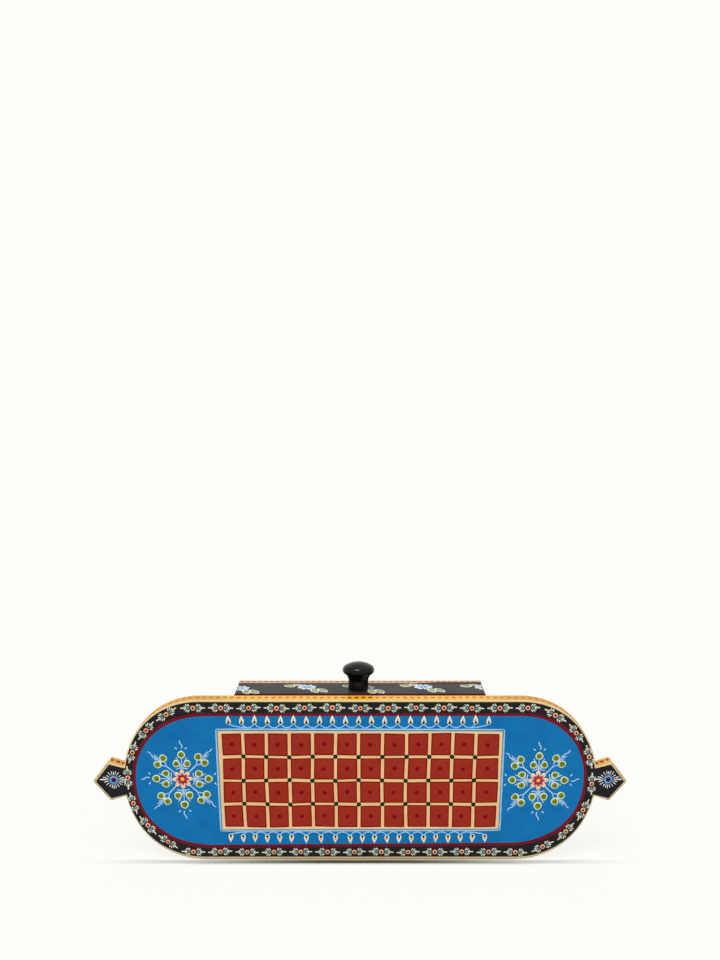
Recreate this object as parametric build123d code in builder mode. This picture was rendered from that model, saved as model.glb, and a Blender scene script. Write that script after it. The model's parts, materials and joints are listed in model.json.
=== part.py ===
from build123d import *
import os
from math import sqrt

# A wooden race-game board on a shallow case with one drawer, standing on its long edge.
# X runs along the board, the painted face looks towards -Y and Z is up.
# The origin is on the surface it stands on, below the middle of the whole object.
# All sizes are in millimetres.

# Board: a plank with round ends and an arrow tip beyond each end
board_height = 131.0
board_thickness = 14.0
board_end_radius = 73.2
board_end_centre = 110.6
board_knee_rise = 7.5
board_edge_round = 1.2
board_back_arris = 0.8
tip_neck_width = 24.0
tip_shoulder_width = 32.0
tip_shoulder_reach = 11.1
tip_reach = 24.0
tip_round = 1.6

# Case: two cheeks and a rail between the board and the base panel
case_width = 195.0
cavity_depth = 38.0
cheek_thickness = 9.0
rail_thickness = 9.0
base_thickness = 10.0
base_edge_round = 1.5
case_arris = 0.5

# Wooden dowels hold the board to the case, headless steel pins hold the base panel
dowel_diameter = 5.0
dowel_length = 24.0
dowel_board_depth = 8.0
dowel_end_inset = 18.0
dowels_per_cheek = 2
pin_diameter = 1.8
pin_length = 22.0
pin_end_inset = 14.0
pins_per_cheek = 3
pins_per_rail = 2
fit_gap = 0.05
hole_end_gap = 0.5

# Drawer: its front covers the ends of the cheeks, the rest slides between them
drawer_gap = 0.4
drawer_end_gap = 0.8
front_thickness = 10.0
front_corner_round = 1.8
front_edge_round = 1.0
side_thickness = 7.0
drawer_back_thickness = 7.0
bottom_thickness = 3.5
bottom_lip = 2.5
joint_depth = 4.0
groove_depth = 3.0
joint_gap = 0.1
drawer_arris = 0.4
brad_diameter = 1.2
brad_length = 14.0
brads_per_corner = 2
brads_per_bottom = 2

# Knob: a turned mushroom knob, held by one screw from inside the drawer
knob_height = 22.0
knob_diameter = 24.9
knob_foot_diameter = 15.8
knob_neck_diameter = 15.4
knob_neck_height = 6.5
knob_flare_diameter = 22.8
knob_flare_height = 13.3
knob_rim_height = 15.5
knob_brow_radius = 4.2
knob_shift = -1.2
screw_diameter = 4.0
screw_reach = 12.0
screw_head_diameter = 8.0
screw_head_height = 2.4
screw_slot_width = 1.0
screw_slot_depth = 1.1
washer_diameter = 12.0
washer_thickness = 1.0

# Playing pieces and throwing sticks, kept in the drawer
pieces_per_side = 12
piece_rows = 2
piece_gap = 1.0
piece_height = 20.0
piece_foot_height = 2.4
piece_nose_diameter = 6.0
stick_gap = 0.3
stick_width = 11.0
stick_height = 5.5
stick_arris = 0.6
sticks_per_row = 2

# Levels across the object, from the painted face (front) to the base panel (back)
depth_total = board_thickness + cavity_depth + base_thickness
board_front_y = -depth_total / 2
board_back_y = board_front_y + board_thickness
base_inner_y = board_back_y + cavity_depth
base_outer_y = depth_total / 2
board_end_x = board_end_centre + board_end_radius
board_knee_radius = board_height / 2 - board_knee_rise
case_half_width = case_width / 2
cavity_half_width = case_half_width - cheek_thickness

# The drawer's outline at rest, shut
drawer_half_width = cavity_half_width - drawer_gap
drawer_open_y = board_back_y + drawer_gap
drawer_under_y = base_inner_y - drawer_gap
drawer_mid_y = (drawer_open_y + drawer_under_y) / 2
drawer_rear_z = rail_thickness + drawer_end_gap
front_inner_z = board_height - front_thickness
bottom_outer_y = drawer_under_y - bottom_lip
bottom_inner_y = bottom_outer_y - bottom_thickness
well_half_width = drawer_half_width - side_thickness
groove_half_width = well_half_width + groove_depth
well_floor_z = drawer_rear_z + drawer_back_thickness
joint_top_z = front_inner_z + joint_depth

# Room for the contents, shared out evenly
column_pitch = 2 * well_half_width / pieces_per_side
row_pitch = (bottom_inner_y - drawer_open_y) / piece_rows
piece_foot_diameter = min(column_pitch, row_pitch) - piece_gap
stick_length = 2 * well_half_width / sticks_per_row - 2 * piece_gap
stick_floor_z = well_floor_z + piece_height + stick_gap


def looking_front(x, y, z):
    """A plane at a point, facing the player (-Y), with its own X along the board and Y up."""
    return Plane(origin=(x, y, z), x_dir=(1, 0, 0), z_dir=(0, -1, 0))


def looking_back(x, y, z):
    """A plane at a point, facing away from the player (+Y), with its own Y up."""
    return Plane(origin=(x, y, z), x_dir=(-1, 0, 0), z_dir=(0, 1, 0))


def looking_side(x, y, z, side):
    """A plane at a point, facing along +X (side 1) or -X (side -1), with its own Y up."""
    return Plane(origin=(x, y, z), x_dir=(0, side, 0), z_dir=(side, 0, 0))


def block(x_span, y_span, z_span, mode=Mode.ADD):
    """A square-edged block between two limits along each axis, added to the piece or cut from it."""
    spans = (x_span, y_span, z_span)
    middle = tuple((low + high) / 2 for low, high in spans)
    with Locations(middle):
        Box(*(high - low for low, high in spans), mode=mode)


def spread(low, high, count):
    """Places in a row from low to high, evenly apart."""
    return [low + (high - low) * step / (count - 1) for step in range(count)]


def nail(place, diameter, length):
    """A headless nail whose end lies flush in the plane and whose shank runs in behind it."""
    with BuildSketch(place) as shank:
        Circle(diameter / 2)
    extrude(shank.sketch, amount=-length)


def nail_hole(place, diameter, length):
    """The hole that such a nail fills, a named clearance wider and deeper."""
    with Locations(place):
        Hole(radius=diameter / 2 + fit_gap, depth=length + hole_end_gap)


def keep(piece, name):
    """Labels a finished piece and writes it to its own file."""
    piece.part.label = name
    export_step(piece.part, f"parts/{name}.step")


os.makedirs("parts", exist_ok=True)

# Places of the fasteners, shared by each hole and by what fills it
cheek_mid_x = case_half_width - cheek_thickness / 2
cheek_dowel_z = spread(dowel_end_inset, front_inner_z - dowel_end_inset, dowels_per_cheek)
dowel_places = [(side * cheek_mid_x, z) for side in (-1, 1) for z in cheek_dowel_z]

pin_sizes = (pin_diameter, pin_length)
cheek_pin_z = spread(pin_end_inset, front_inner_z - pin_end_inset, pins_per_cheek)
rail_pin_x = spread(-cavity_half_width / 2, cavity_half_width / 2, pins_per_rail)
cheek_pins = [(side * cheek_mid_x, z) for side in (-1, 1) for z in cheek_pin_z]
rail_pins = [(x, rail_thickness / 2) for x in rail_pin_x]
pin_planes = [looking_back(x, base_outer_y, z) for x, z in cheek_pins + rail_pins]


def dowel_hole_in_board(x, z):
    """A blind hole in the back of the board."""
    with Locations(looking_back(x, board_back_y, z)):
        Hole(radius=dowel_diameter / 2 + fit_gap, depth=dowel_board_depth + hole_end_gap)


def dowel_hole_in_case(x, z):
    """A blind hole in the edge that a cheek turns to the board."""
    with Locations(looking_front(x, board_back_y, z)):
        Hole(
            radius=dowel_diameter / 2 + fit_gap,
            depth=dowel_length - dowel_board_depth + hole_end_gap,
        )


# Board panel
with BuildPart() as board_panel:
    with BuildSketch(looking_front(0, board_back_y, board_height / 2)) as outline:
        SlotCenterToCenter(2 * board_end_centre, 2 * board_end_radius)
        Rectangle(2 * board_end_x, board_height, mode=Mode.INTERSECT)
        knees = outline.vertices().group_by(Axis.Y)
        fillet(knees[0] + knees[-1], radius=board_knee_radius)
        tip_root_x = board_end_centre + sqrt(board_end_radius**2 - (tip_neck_width / 2) ** 2)
        tip_half = [
            (board_end_centre, tip_neck_width / 2),
            (tip_root_x, tip_neck_width / 2),
            (board_end_x + tip_shoulder_reach, tip_shoulder_width / 2),
            (board_end_x + tip_reach, 0),
        ]
        tip_other_half = [(x, -y) for x, y in reversed(tip_half[:-1])]
        with BuildLine():
            Polyline(*tip_half, *tip_other_half, close=True)
        make_face()
        mirror(about=Plane.YZ)
        ends = outline.vertices().group_by(Axis.X)
        fillet(ends[0] + ends[1] + ends[2] + ends[-3] + ends[-2] + ends[-1], radius=tip_round)
    extrude(amount=board_thickness)
    faces = board_panel.faces().filter_by(Axis.Y).sort_by(Axis.Y)
    chamfer(faces[-1].edges(), length=board_back_arris)
    fillet(faces[0].edges(), radius=board_edge_round)
    for x, z in dowel_places:
        dowel_hole_in_board(x, z)
keep(board_panel, "board_panel")


# Case cheeks
def make_cheek(side):
    """A cheek, drilled in one edge for the dowels and in the other for the pins."""
    inner, outer = side * cavity_half_width, side * case_half_width
    with BuildPart() as cheek:
        block(sorted((inner, outer)), (board_back_y, base_inner_y), (0, front_inner_z))
        upright = cheek.edges().filter_by(Axis.Y).sort_by(lambda edge: side * edge.center().X)
        chamfer(upright[-2:].sort_by(Axis.Z)[0], length=case_arris)
        for x, z in dowel_places:
            if x * side > 0:
                dowel_hole_in_case(x, z)
        for x, z in cheek_pins:
            if x * side > 0:
                nail_hole(looking_back(x, base_outer_y, z), *pin_sizes)
    return cheek


keep(make_cheek(-1), "left_cheek")
keep(make_cheek(1), "right_cheek")

# Rail across the closed side of the case
with BuildPart() as back_rail:
    block(
        (-cavity_half_width, cavity_half_width),
        (board_back_y, base_inner_y),
        (0, rail_thickness),
    )
    for x, z in rail_pins:
        nail_hole(looking_back(x, base_outer_y, z), *pin_sizes)
keep(back_rail, "back_rail")

# Base panel, on which the board lies in play
with BuildPart() as base_panel:
    block((-case_half_width, case_half_width), (base_inner_y, base_outer_y), (0, board_height))
    outer_rim = base_panel.faces().sort_by(Axis.Y)[-1].edges()
    fillet(outer_rim, radius=min(base_edge_round, base_thickness / 3))
    for place in pin_planes:
        nail_hole(place, *pin_sizes)
keep(base_panel, "base_panel")

# Dowels between the board and the case
with BuildPart() as case_dowels:
    for x, z in dowel_places:
        with BuildSketch(looking_front(x, board_back_y - dowel_board_depth, z)):
            Circle(dowel_diameter / 2)
        extrude(amount=-dowel_length)
keep(case_dowels, "case_dowels")

# Pins through the base panel
with BuildPart() as base_pins:
    for place in pin_planes:
        nail(place, *pin_sizes)
keep(base_pins, "base_pins")

# Places of the drawer's brads, shared by each hole and by what fills it
brad_sizes = (brad_diameter, brad_length)
corner_z = drawer_rear_z + drawer_back_thickness / 2
corner_inset = (bottom_inner_y - drawer_open_y) / (brads_per_corner + 2)
corner_y = spread(drawer_open_y + corner_inset, bottom_inner_y - corner_inset, brads_per_corner)
corner_brads = {
    side: [looking_side(side * drawer_half_width, y, corner_z, side) for y in corner_y]
    for side in (-1, 1)
}
bottom_brad_x = spread(-well_half_width / 2, well_half_width / 2, brads_per_bottom)
bottom_brads = [looking_back(x, bottom_outer_y, corner_z) for x in bottom_brad_x]
knob_seat = Plane(origin=(knob_shift, drawer_mid_y, board_height), z_dir=(0, 0, 1))

# Drawer front
with BuildPart() as drawer_front:
    block(
        (-case_half_width, case_half_width),
        (drawer_open_y, drawer_under_y),
        (front_inner_z, board_height),
    )
    corners = drawer_front.edges().filter_by(Axis.Z)
    fillet(corners, radius=front_corner_round)
    face_rim = drawer_front.faces().sort_by(Axis.Z)[-1].edges()
    fillet(face_rim, radius=min(front_edge_round, front_thickness / 3))
    for side in (-1, 1):
        block(
            sorted((side * (well_half_width - joint_gap), side * (drawer_half_width + joint_gap))),
            (drawer_open_y, drawer_under_y),
            (front_inner_z, joint_top_z + joint_gap),
            mode=Mode.SUBTRACT,
        )
    block(
        (-groove_half_width, groove_half_width),
        (bottom_inner_y - joint_gap, bottom_outer_y + joint_gap),
        (front_inner_z, joint_top_z + joint_gap),
        mode=Mode.SUBTRACT,
    )
    with Locations(knob_seat):
        Hole(radius=screw_diameter / 2 + fit_gap)
keep(drawer_front, "drawer_front")


# Drawer sides
def make_drawer_side(side):
    """A side, grooved for the bottom, rebated for the back and let into the front."""
    inner, outer = side * well_half_width, side * drawer_half_width
    groove = sorted((inner, side * groove_half_width))
    with BuildPart() as drawer_side:
        block(sorted((inner, outer)), (drawer_open_y, drawer_under_y), (drawer_rear_z, joint_top_z))
        block(
            groove,
            (bottom_inner_y - joint_gap, bottom_outer_y + joint_gap),
            (drawer_rear_z, joint_top_z),
            mode=Mode.SUBTRACT,
        )
        block(
            groove,
            (drawer_open_y, bottom_inner_y),
            (drawer_rear_z, well_floor_z),
            mode=Mode.SUBTRACT,
        )
        for place in corner_brads[side]:
            nail_hole(place, *brad_sizes)
    return drawer_side


keep(make_drawer_side(-1), "drawer_left_side")
keep(make_drawer_side(1), "drawer_right_side")

# Drawer back, between the sides and standing on the bottom
with BuildPart() as drawer_back:
    block(
        (-groove_half_width + joint_gap, groove_half_width - joint_gap),
        (drawer_open_y, bottom_inner_y),
        (drawer_rear_z, well_floor_z),
    )
    open_edge = drawer_back.faces().sort_by(Axis.Y)[0].edges().filter_by(Axis.X)
    chamfer(open_edge, length=drawer_arris)
    for side in (-1, 1):
        for place in corner_brads[side]:
            nail_hole(place, *brad_sizes)
    for place in bottom_brads:
        nail_hole(place, *brad_sizes)
keep(drawer_back, "drawer_back")

# Drawer bottom, a thin panel held in grooves
with BuildPart() as drawer_bottom:
    block(
        (-groove_half_width + joint_gap, groove_half_width - joint_gap),
        (bottom_inner_y, bottom_outer_y),
        (drawer_rear_z, joint_top_z),
    )
    for place in bottom_brads:
        nail_hole(place, *brad_sizes)
keep(drawer_bottom, "drawer_bottom")

# Brads at the drawer's rear corners and along its bottom
with BuildPart() as drawer_brads:
    for place in corner_brads[-1] + corner_brads[1] + bottom_brads:
        nail(place, *brad_sizes)
keep(drawer_brads, "drawer_brads")

# Knob, turned in one piece: the crown's arc runs into the brow's, which is upright at the rim
dome_rise = knob_height - knob_rim_height
brow_x = knob_diameter / 2 - knob_brow_radius
crown_radius = (brow_x**2 + dome_rise**2 - knob_brow_radius**2) / (2 * (dome_rise - knob_brow_radius))
brow_share = knob_brow_radius / (crown_radius - knob_brow_radius)
brow_end = (brow_x * (1 + brow_share), knob_rim_height + (crown_radius - dome_rise) * brow_share)

with BuildPart() as knob:
    knob_section = looking_front(knob_shift, drawer_mid_y, board_height)
    knob_axis = Axis((knob_shift, drawer_mid_y, board_height), (0, 0, 1))
    with BuildSketch(knob_section):
        with BuildLine():
            neck_end = (knob_neck_diameter / 2, knob_neck_height)
            flare_end = (knob_flare_diameter / 2, knob_flare_height)
            rim = (knob_diameter / 2, knob_rim_height)
            Polyline((0, knob_height), (0, 0), (knob_foot_diameter / 2, 0), neck_end)
            TangentArc(neck_end, flare_end, tangent=(0, 1))
            TangentArc(rim, flare_end, tangent=(0, -1))
            TangentArc(rim, brow_end, tangent=(0, 1))
            TangentArc((0, knob_height), brow_end, tangent=(1, 0))
        make_face()
    revolve(axis=knob_axis)
    with Locations(Plane(origin=knob_seat.origin, z_dir=(0, 0, -1))):
        Hole(radius=screw_diameter / 2 + fit_gap, depth=screw_reach + hole_end_gap)
keep(knob, "knob")

# Screw and washer that hold the knob
washer_under_z = front_inner_z - washer_thickness
screw_head_z = washer_under_z - screw_head_height

with BuildPart() as knob_washer:
    with BuildSketch(Plane(origin=(knob_shift, drawer_mid_y, washer_under_z))):
        Circle(washer_diameter / 2)
        Circle(screw_diameter / 2 + fit_gap, mode=Mode.SUBTRACT)
    extrude(amount=washer_thickness)
keep(knob_washer, "knob_washer")

with BuildPart() as knob_screw:
    with BuildSketch(Plane(origin=(knob_shift, drawer_mid_y, screw_head_z))):
        Circle(screw_head_diameter / 2)
    extrude(amount=screw_head_height)
    with BuildSketch(Plane(origin=(knob_shift, drawer_mid_y, washer_under_z))):
        Circle(screw_diameter / 2)
    extrude(amount=board_height + screw_reach - washer_under_z)
    point = knob_screw.edges().filter_by(GeomType.CIRCLE).sort_by(Axis.Z)[-1]
    chamfer(point, length=screw_diameter / 4)
    with BuildSketch(Plane(origin=(knob_shift, drawer_mid_y, screw_head_z))):
        Rectangle(screw_head_diameter, screw_slot_width)
    extrude(amount=screw_slot_depth, mode=Mode.SUBTRACT)
keep(knob_screw, "knob_screw")


# Playing pieces, twelve a side, standing in two rows on the drawer's back
def make_playing_piece(x, y):
    """A turned piece: a flat foot, a tapering body and a round nose."""
    foot = piece_foot_diameter / 2
    nose = piece_nose_diameter / 2
    nose_centre = piece_height - nose
    nose_flank = (nose * sqrt(0.5), nose_centre + nose * sqrt(0.5))
    with BuildPart() as playing_piece:
        with BuildSketch(looking_front(x, y, well_floor_z)):
            with BuildLine():
                Polyline((0, piece_height), (0, 0), (foot, 0), (foot, piece_foot_height))
                Line((foot, piece_foot_height), (nose, nose_centre))
                ThreePointArc((nose, nose_centre), nose_flank, (0, piece_height))
            make_face()
        revolve(axis=Axis((x, y, well_floor_z), (0, 0, 1)))
    return playing_piece


columns_per_side = pieces_per_side // piece_rows
for colour, half in (("yellow", -1), ("green", 1)):
    for number in range(pieces_per_side):
        column, row = divmod(number, piece_rows)
        x = half * (column_pitch * (columns_per_side - column - 0.5))
        y = drawer_open_y + row_pitch * (row + 0.5)
        keep(make_playing_piece(x, y), f"{colour}_piece_{number + 1}")


# Throwing sticks, half round, lying flat side down on the pieces
def make_throwing_stick(x, y):
    """A half-round stick along X, its ends eased."""
    with BuildPart() as stick:
        with BuildSketch(looking_side(x - stick_length / 2, y, stick_floor_z, 1)):
            with BuildLine():
                Line((-stick_width / 2, 0), (stick_width / 2, 0))
                ThreePointArc((stick_width / 2, 0), (0, stick_height), (-stick_width / 2, 0))
            make_face()
        extrude(amount=stick_length)
        stick_ends = stick.faces().filter_by(Axis.X)
        chamfer(stick_ends.edges(), length=stick_arris)
    return stick


for number in range(piece_rows * sticks_per_row):
    row, place_in_row = divmod(number, sticks_per_row)
    x = (place_in_row - (sticks_per_row - 1) / 2) * (stick_length + 2 * piece_gap)
    y = drawer_open_y + row_pitch * (row + 0.5)
    keep(make_throwing_stick(x, y), f"throwing_stick_{number + 1}")
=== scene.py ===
import json
import logging
import math
from dataclasses import dataclass
from enum import Enum
from typing import Iterable, Sequence

import bpy
import numpy as np
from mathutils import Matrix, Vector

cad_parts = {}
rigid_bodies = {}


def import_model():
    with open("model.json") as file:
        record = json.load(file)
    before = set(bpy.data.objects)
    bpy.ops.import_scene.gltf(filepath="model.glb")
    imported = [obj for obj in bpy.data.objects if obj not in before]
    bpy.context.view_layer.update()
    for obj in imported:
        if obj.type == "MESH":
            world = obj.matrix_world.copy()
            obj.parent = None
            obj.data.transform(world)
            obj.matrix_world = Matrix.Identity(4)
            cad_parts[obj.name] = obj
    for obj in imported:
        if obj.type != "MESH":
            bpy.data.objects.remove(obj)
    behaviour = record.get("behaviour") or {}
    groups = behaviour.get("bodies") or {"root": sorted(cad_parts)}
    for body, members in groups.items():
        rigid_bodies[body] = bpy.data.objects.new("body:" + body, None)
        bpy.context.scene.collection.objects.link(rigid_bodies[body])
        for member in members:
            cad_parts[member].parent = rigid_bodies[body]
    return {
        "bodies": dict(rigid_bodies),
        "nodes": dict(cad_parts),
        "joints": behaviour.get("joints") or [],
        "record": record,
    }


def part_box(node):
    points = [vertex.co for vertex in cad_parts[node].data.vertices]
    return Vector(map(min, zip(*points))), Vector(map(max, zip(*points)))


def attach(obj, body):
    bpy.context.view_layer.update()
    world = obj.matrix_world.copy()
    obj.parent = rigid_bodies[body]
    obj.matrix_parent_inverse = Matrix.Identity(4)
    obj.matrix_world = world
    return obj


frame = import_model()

# A painted race-game board on a shallow case with one drawer: the paint, woods and metal of every
# piece, on the fixed frame. Ornament is measured in millimetres on the surface that carries it.

log = logging.getLogger("race_board")

Array = np.ndarray
Strokes = Array | Sequence[Sequence[float]]
Rgb = tuple[int, int, int]
Stops = tuple[tuple[float, Rgb], ...]

METRES = 0.001

# Steps of the grids on which the surfaces are worked out.
DOME_STEPS = 5
PATCH_STEPS = 24
HOOP_STEPS = 24
HOOP_SIDES = 6
OVAL_STEPS = 80
STRIPE_STEPS = 120
BAND_STEPS = 600
OUTLINE_STEPS = 4096

# In millimetres: how far paint reaches into its ground, how far a coat does, how far dashes keep from
# where an edge turns over, and the longest fade from one edge paint into the next.
SKIRT = 0.06
COAT_FOOT = -0.04
DASH_CLEARANCE = 1.0
LONGEST_FADE = 8.0

# What a run leaves free at its end, as a share or in radians; what a patch's face keeps of its width;
# how strongly relief shades; and the sharpest turn between faces that still looks smooth.
RUN_CLEARANCE = 0.004
PATCH_FACE = 0.97
BUMP_STRENGTH = 0.6
SMOOTH_UNTIL = math.radians(50)

board_low, board_high = (np.array(corner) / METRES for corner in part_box("board_panel"))
front_low, front_high = (np.array(corner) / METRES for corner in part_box("drawer_front"))
base_low, base_high = (np.array(corner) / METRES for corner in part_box("base_panel"))
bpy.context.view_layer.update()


class Brush(Enum):
    """Outline of one brush stroke, as the two powers of its width curve."""

    ROUND = (0.5, 0.5)
    BUD = (0.5, 0.65)
    DROP = (0.5, 0.9)
    FLAME = (0.5, 1.25)
    LEAF = (0.8, 0.8)
    LINE = (0.12, 0.12)

    def width(self, t: Array) -> Array:
        """Share of the full width at t: t to the first power times (1 - t) to the second, peak 1.

        Args:
            t: Places along the stroke, from 0 to 1.

        Returns:
            The share of the full width at each place.
        """
        rise, fall = self.value
        peak = (rise / (rise + fall)) ** rise * (fall / (rise + fall)) ** fall
        return t**rise * (1 - t) ** fall / peak


def waver(place: Array, number: Array | float, size: float) -> Array:
    """The unsteadiness of a hand: two slow sine waves added, their phase set by a number.

    Args:
        place: Places along the line, in millimetres.
        number: Which line it is.
        size: Largest departure, in millimetres.

    Returns:
        The departure at each place.
    """
    return size * (0.6 * np.sin(0.09 * place + 2.1 * number) + 0.4 * np.sin(0.23 * place + 4.7 * number))


def by_hand(number: Array, size: float, pace: float, phase: Array | float = 0.0) -> Array:
    """How far each of many like things is off when done by hand: size * sin(pace * number + phase)."""
    return size * np.sin(pace * number + phase)


def dab(x0: float, y0: float, x1: float, y1: float, width: float, bow: float = 0.0) -> list[float]:
    """One brush stroke: start, pull, end and width, where bow shifts the middle to the left.

    Args:
        x0: Start, along the motif.
        y0: Start, across the motif.
        x1: End, along the motif.
        y1: End, across the motif.
        width: Full width.
        bow: How far the curve's middle point is pulled off the straight line.

    Returns:
        The seven numbers of the stroke.
    """
    run, rise = x1 - x0, y1 - y0
    reach = math.hypot(run, rise)
    pull = ((x0 + x1) / 2 - bow * rise / reach, (y0 + y1) / 2 + bow * run / reach)
    return [x0, y0, *pull, x1, y1, width]


def both_sides(strokes: Strokes) -> list[list[float]]:
    """The strokes and their mirror images across the motif's own axis."""
    kept = [list(stroke) for stroke in strokes]
    return kept + [[v * sign for v, sign in zip(s, (1, -1, 1, -1, 1, -1, 1))] for s in kept]


def placed(motif: Strokes, centres: Array, angles: Array | float,
           sizes: Array | float = 1.0) -> Array:
    """Copies of a motif, each turned, scaled and moved: place = centre + size * turn(angle) * point.

    Args:
        motif: Strokes in the motif's own axes.
        centres: Where each copy goes, one row of two numbers each.
        angles: Turn of each copy, in radians.
        sizes: Scale of each copy.

    Returns:
        All strokes, copies times strokes rows of seven numbers.
    """
    strokes = np.asarray(motif, float)
    centres = np.atleast_2d(np.asarray(centres, float))
    angles = np.broadcast_to(np.asarray(angles, float), len(centres))
    sizes = np.broadcast_to(np.asarray(sizes, float), len(centres))
    points = strokes[:, :6].reshape(-1, 3, 2)
    cosine, sine = np.cos(angles) * sizes, np.sin(angles) * sizes
    turn = np.stack([np.stack([cosine, sine], -1), np.stack([-sine, cosine], -1)], 1)
    moved = np.einsum("spi,cij->cspj", points, turn) + centres[:, None, None, :]
    widths = sizes[:, None] * strokes[None, :, 6]
    return np.concatenate([moved.reshape(len(centres), -1, 6), widths[..., None]], -1).reshape(-1, 7)


def fan(motif: Strokes, middle: tuple[float, float], turns: Array,
        sizes: Array | float = 1.0) -> Array:
    """Copies of a motif all turned about one middle."""
    return placed(motif, np.repeat([middle], len(turns), 0), turns, sizes)


def turned_over(strokes: Strokes) -> list[list[float]]:
    """The strokes turned by half a turn about the motif's middle."""
    return [[-value if i < 6 else value for i, value in enumerate(stroke)] for stroke in strokes]


class Outline:
    """A closed line, traced clockwise as seen from outside the surface, read by the length along it."""

    def __init__(self, corners: Array, rounding: float) -> None:
        """Walks the corners in even steps, then softens them with a Gaussian of the given width.

        Args:
            corners: Corners of the line.
            rounding: Width of the Gaussian, in millimetres.
        """
        closed = np.vstack([corners, corners[:1]])
        run = np.concatenate([[0.0], np.cumsum(np.hypot(*np.diff(closed, axis=0).T))])
        self.length = float(run[-1])
        self.steps = np.arange(OUTLINE_STEPS) * self.length / OUTLINE_STEPS
        even = np.stack([np.interp(self.steps, run, closed[:, axis]) for axis in (0, 1)], -1)
        waves = np.fft.fftfreq(OUTLINE_STEPS, self.length / OUTLINE_STEPS)
        softening = np.exp(-2 * (np.pi * rounding * waves) ** 2)[:, None]
        self.places = np.real(np.fft.ifft(np.fft.fft(even, axis=0) * softening, axis=0))
        way = np.roll(self.places, -1, 0) - np.roll(self.places, 1, 0)
        way /= np.linalg.norm(way, axis=1, keepdims=True)
        self.outward = np.stack([-way[:, 1], way[:, 0]], -1)

    def read(self, table: Array, along: Array) -> Array:
        """Values of one table at lengths along the line, wrapping round."""
        columns = [np.interp(along, self.steps, table[:, axis], period=self.length) for axis in (0, 1)]
        return np.stack(columns, -1)

    def over(self, places: Sequence[float]) -> Array:
        """Lengths along the line at which its upper half passes each place across."""
        gap = np.abs(self.places[None, :, 0] - np.array(places)[:, None])
        return self.steps[np.where(self.places[:, 1] > DASH_CLEARANCE, gap, np.inf).argmin(1)]

    def halves(self, count: int) -> tuple[Array, Array]:
        """The line's upper and lower run between its left and right ends, in matching steps.

        Args:
            count: Number of steps.

        Returns:
            Places along the upper run and along the lower run.
        """
        left = self.steps[self.places[:, 0].argmin()]
        right = self.steps[self.places[:, 0].argmax()]
        share = (1 - np.cos(np.linspace(RUN_CLEARANCE, 1 - RUN_CLEARANCE, count) * np.pi)) / 2
        over = (right - left) % self.length
        under = self.length - over
        return self.read(self.places, left + over * share), self.read(self.places, left - under * share)


def inset(corners: Array, depth: Array | float) -> Array:
    """A closed clockwise outline drawn in: each corner moves along its mitre by the depth.

    Args:
        corners: Corners of the outline.
        depth: How far each corner's two sides move inwards.

    Returns:
        The corners of the smaller outline.
    """
    way = np.roll(corners, -1, 0) - corners
    way /= np.linalg.norm(way, axis=1, keepdims=True)
    after = np.stack([-way[:, 1], way[:, 0]], -1)
    before = np.roll(after, 1, 0)
    mitre = (before + after) / (1 + np.sum(before * after, 1, keepdims=True))
    return corners - np.reshape(depth, (-1, 1)) * mitre


@dataclass(frozen=True)
class BoardShape:
    """The board's outline, from the middle of its face."""

    half_height: float = (board_high[2] - board_low[2]) / 2
    end_centre: float = 110.6
    end_radius: float = 73.2
    knee_radius: float = 58.0
    neck: float = 12.0
    shoulder_reach: float = 11.1
    shoulder: float = 16.0
    tip_reach: float = 24.0
    softness: float = 0.9

    def corners(self) -> Array:
        """Straight edge, knee arc, end arc and arrow tip of one quarter, mirrored to all four.

        The knee arc touches both the straight edge and the end arc from inside.

        Returns:
            The corners, clockwise from the middle of the upper edge.
        """
        knee_v = self.half_height - self.knee_radius
        knee_u = self.end_centre + math.sqrt((self.end_radius - self.knee_radius) ** 2 - knee_v**2)
        bend = math.atan2(knee_v, knee_u - self.end_centre)
        turn = np.linspace(math.pi / 2, bend, 24)
        knee = np.array([knee_u, knee_v]) + self.knee_radius * np.stack([np.cos(turn), np.sin(turn)], -1)
        turn = np.linspace(bend, math.asin(self.neck / self.end_radius), 48)[1:]
        end = np.array([self.end_centre, 0.0]) + self.end_radius * np.stack([np.cos(turn), np.sin(turn)], -1)
        end_u = self.end_centre + self.end_radius
        tip = np.array([[end_u + self.shoulder_reach, self.shoulder], [end_u + self.tip_reach, 0.0]])
        quarter = np.vstack([[[0.0, self.half_height]], knee, end, tip])
        down = quarter[-2::-1] * (1, -1)
        right = np.vstack([quarter, down])
        left = right[1:-1] * (-1, 1)
        return np.vstack([right, left[::-1]])


@dataclass(frozen=True)
class Plane:
    """A flat ground for paint: a middle and two directions, in millimetres."""

    middle: tuple[float, float, float]
    along: tuple[float, float, float]
    across: tuple[float, float, float]

    def lay(self, flat: Array, lift: Array) -> Array:
        """Point = middle + u along + v across + lift times their cross product, in metres.

        Args:
            flat: Places u and v.
            lift: Height over the ground at each place.

        Returns:
            The points.
        """
        facing = np.cross(self.along, self.across)
        spread = flat[..., :1] * np.array(self.along) + flat[..., 1:] * np.array(self.across)
        return (np.array(self.middle) + spread + lift[..., None] * facing) * METRES


@dataclass(frozen=True)
class Rim:
    """The edge of an upright plank: u runs round its outline, v across its thickness."""

    outline: Outline
    middle_y: float
    middle_z: float

    def lay(self, flat: Array, lift: Array) -> Array:
        """Point = outline at u, moved outwards by the lift and back by v, in metres.

        Args:
            flat: Places u and v.
            lift: Height over the ground at each place.

        Returns:
            The points.
        """
        place = self.outline.read(self.outline.places, flat[..., 0])
        place = place + lift[..., None] * self.outline.read(self.outline.outward, flat[..., 0])
        y = self.middle_y + flat[..., 1]
        return np.stack([place[..., 0], y, self.middle_z + place[..., 1]], -1) * METRES


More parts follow.
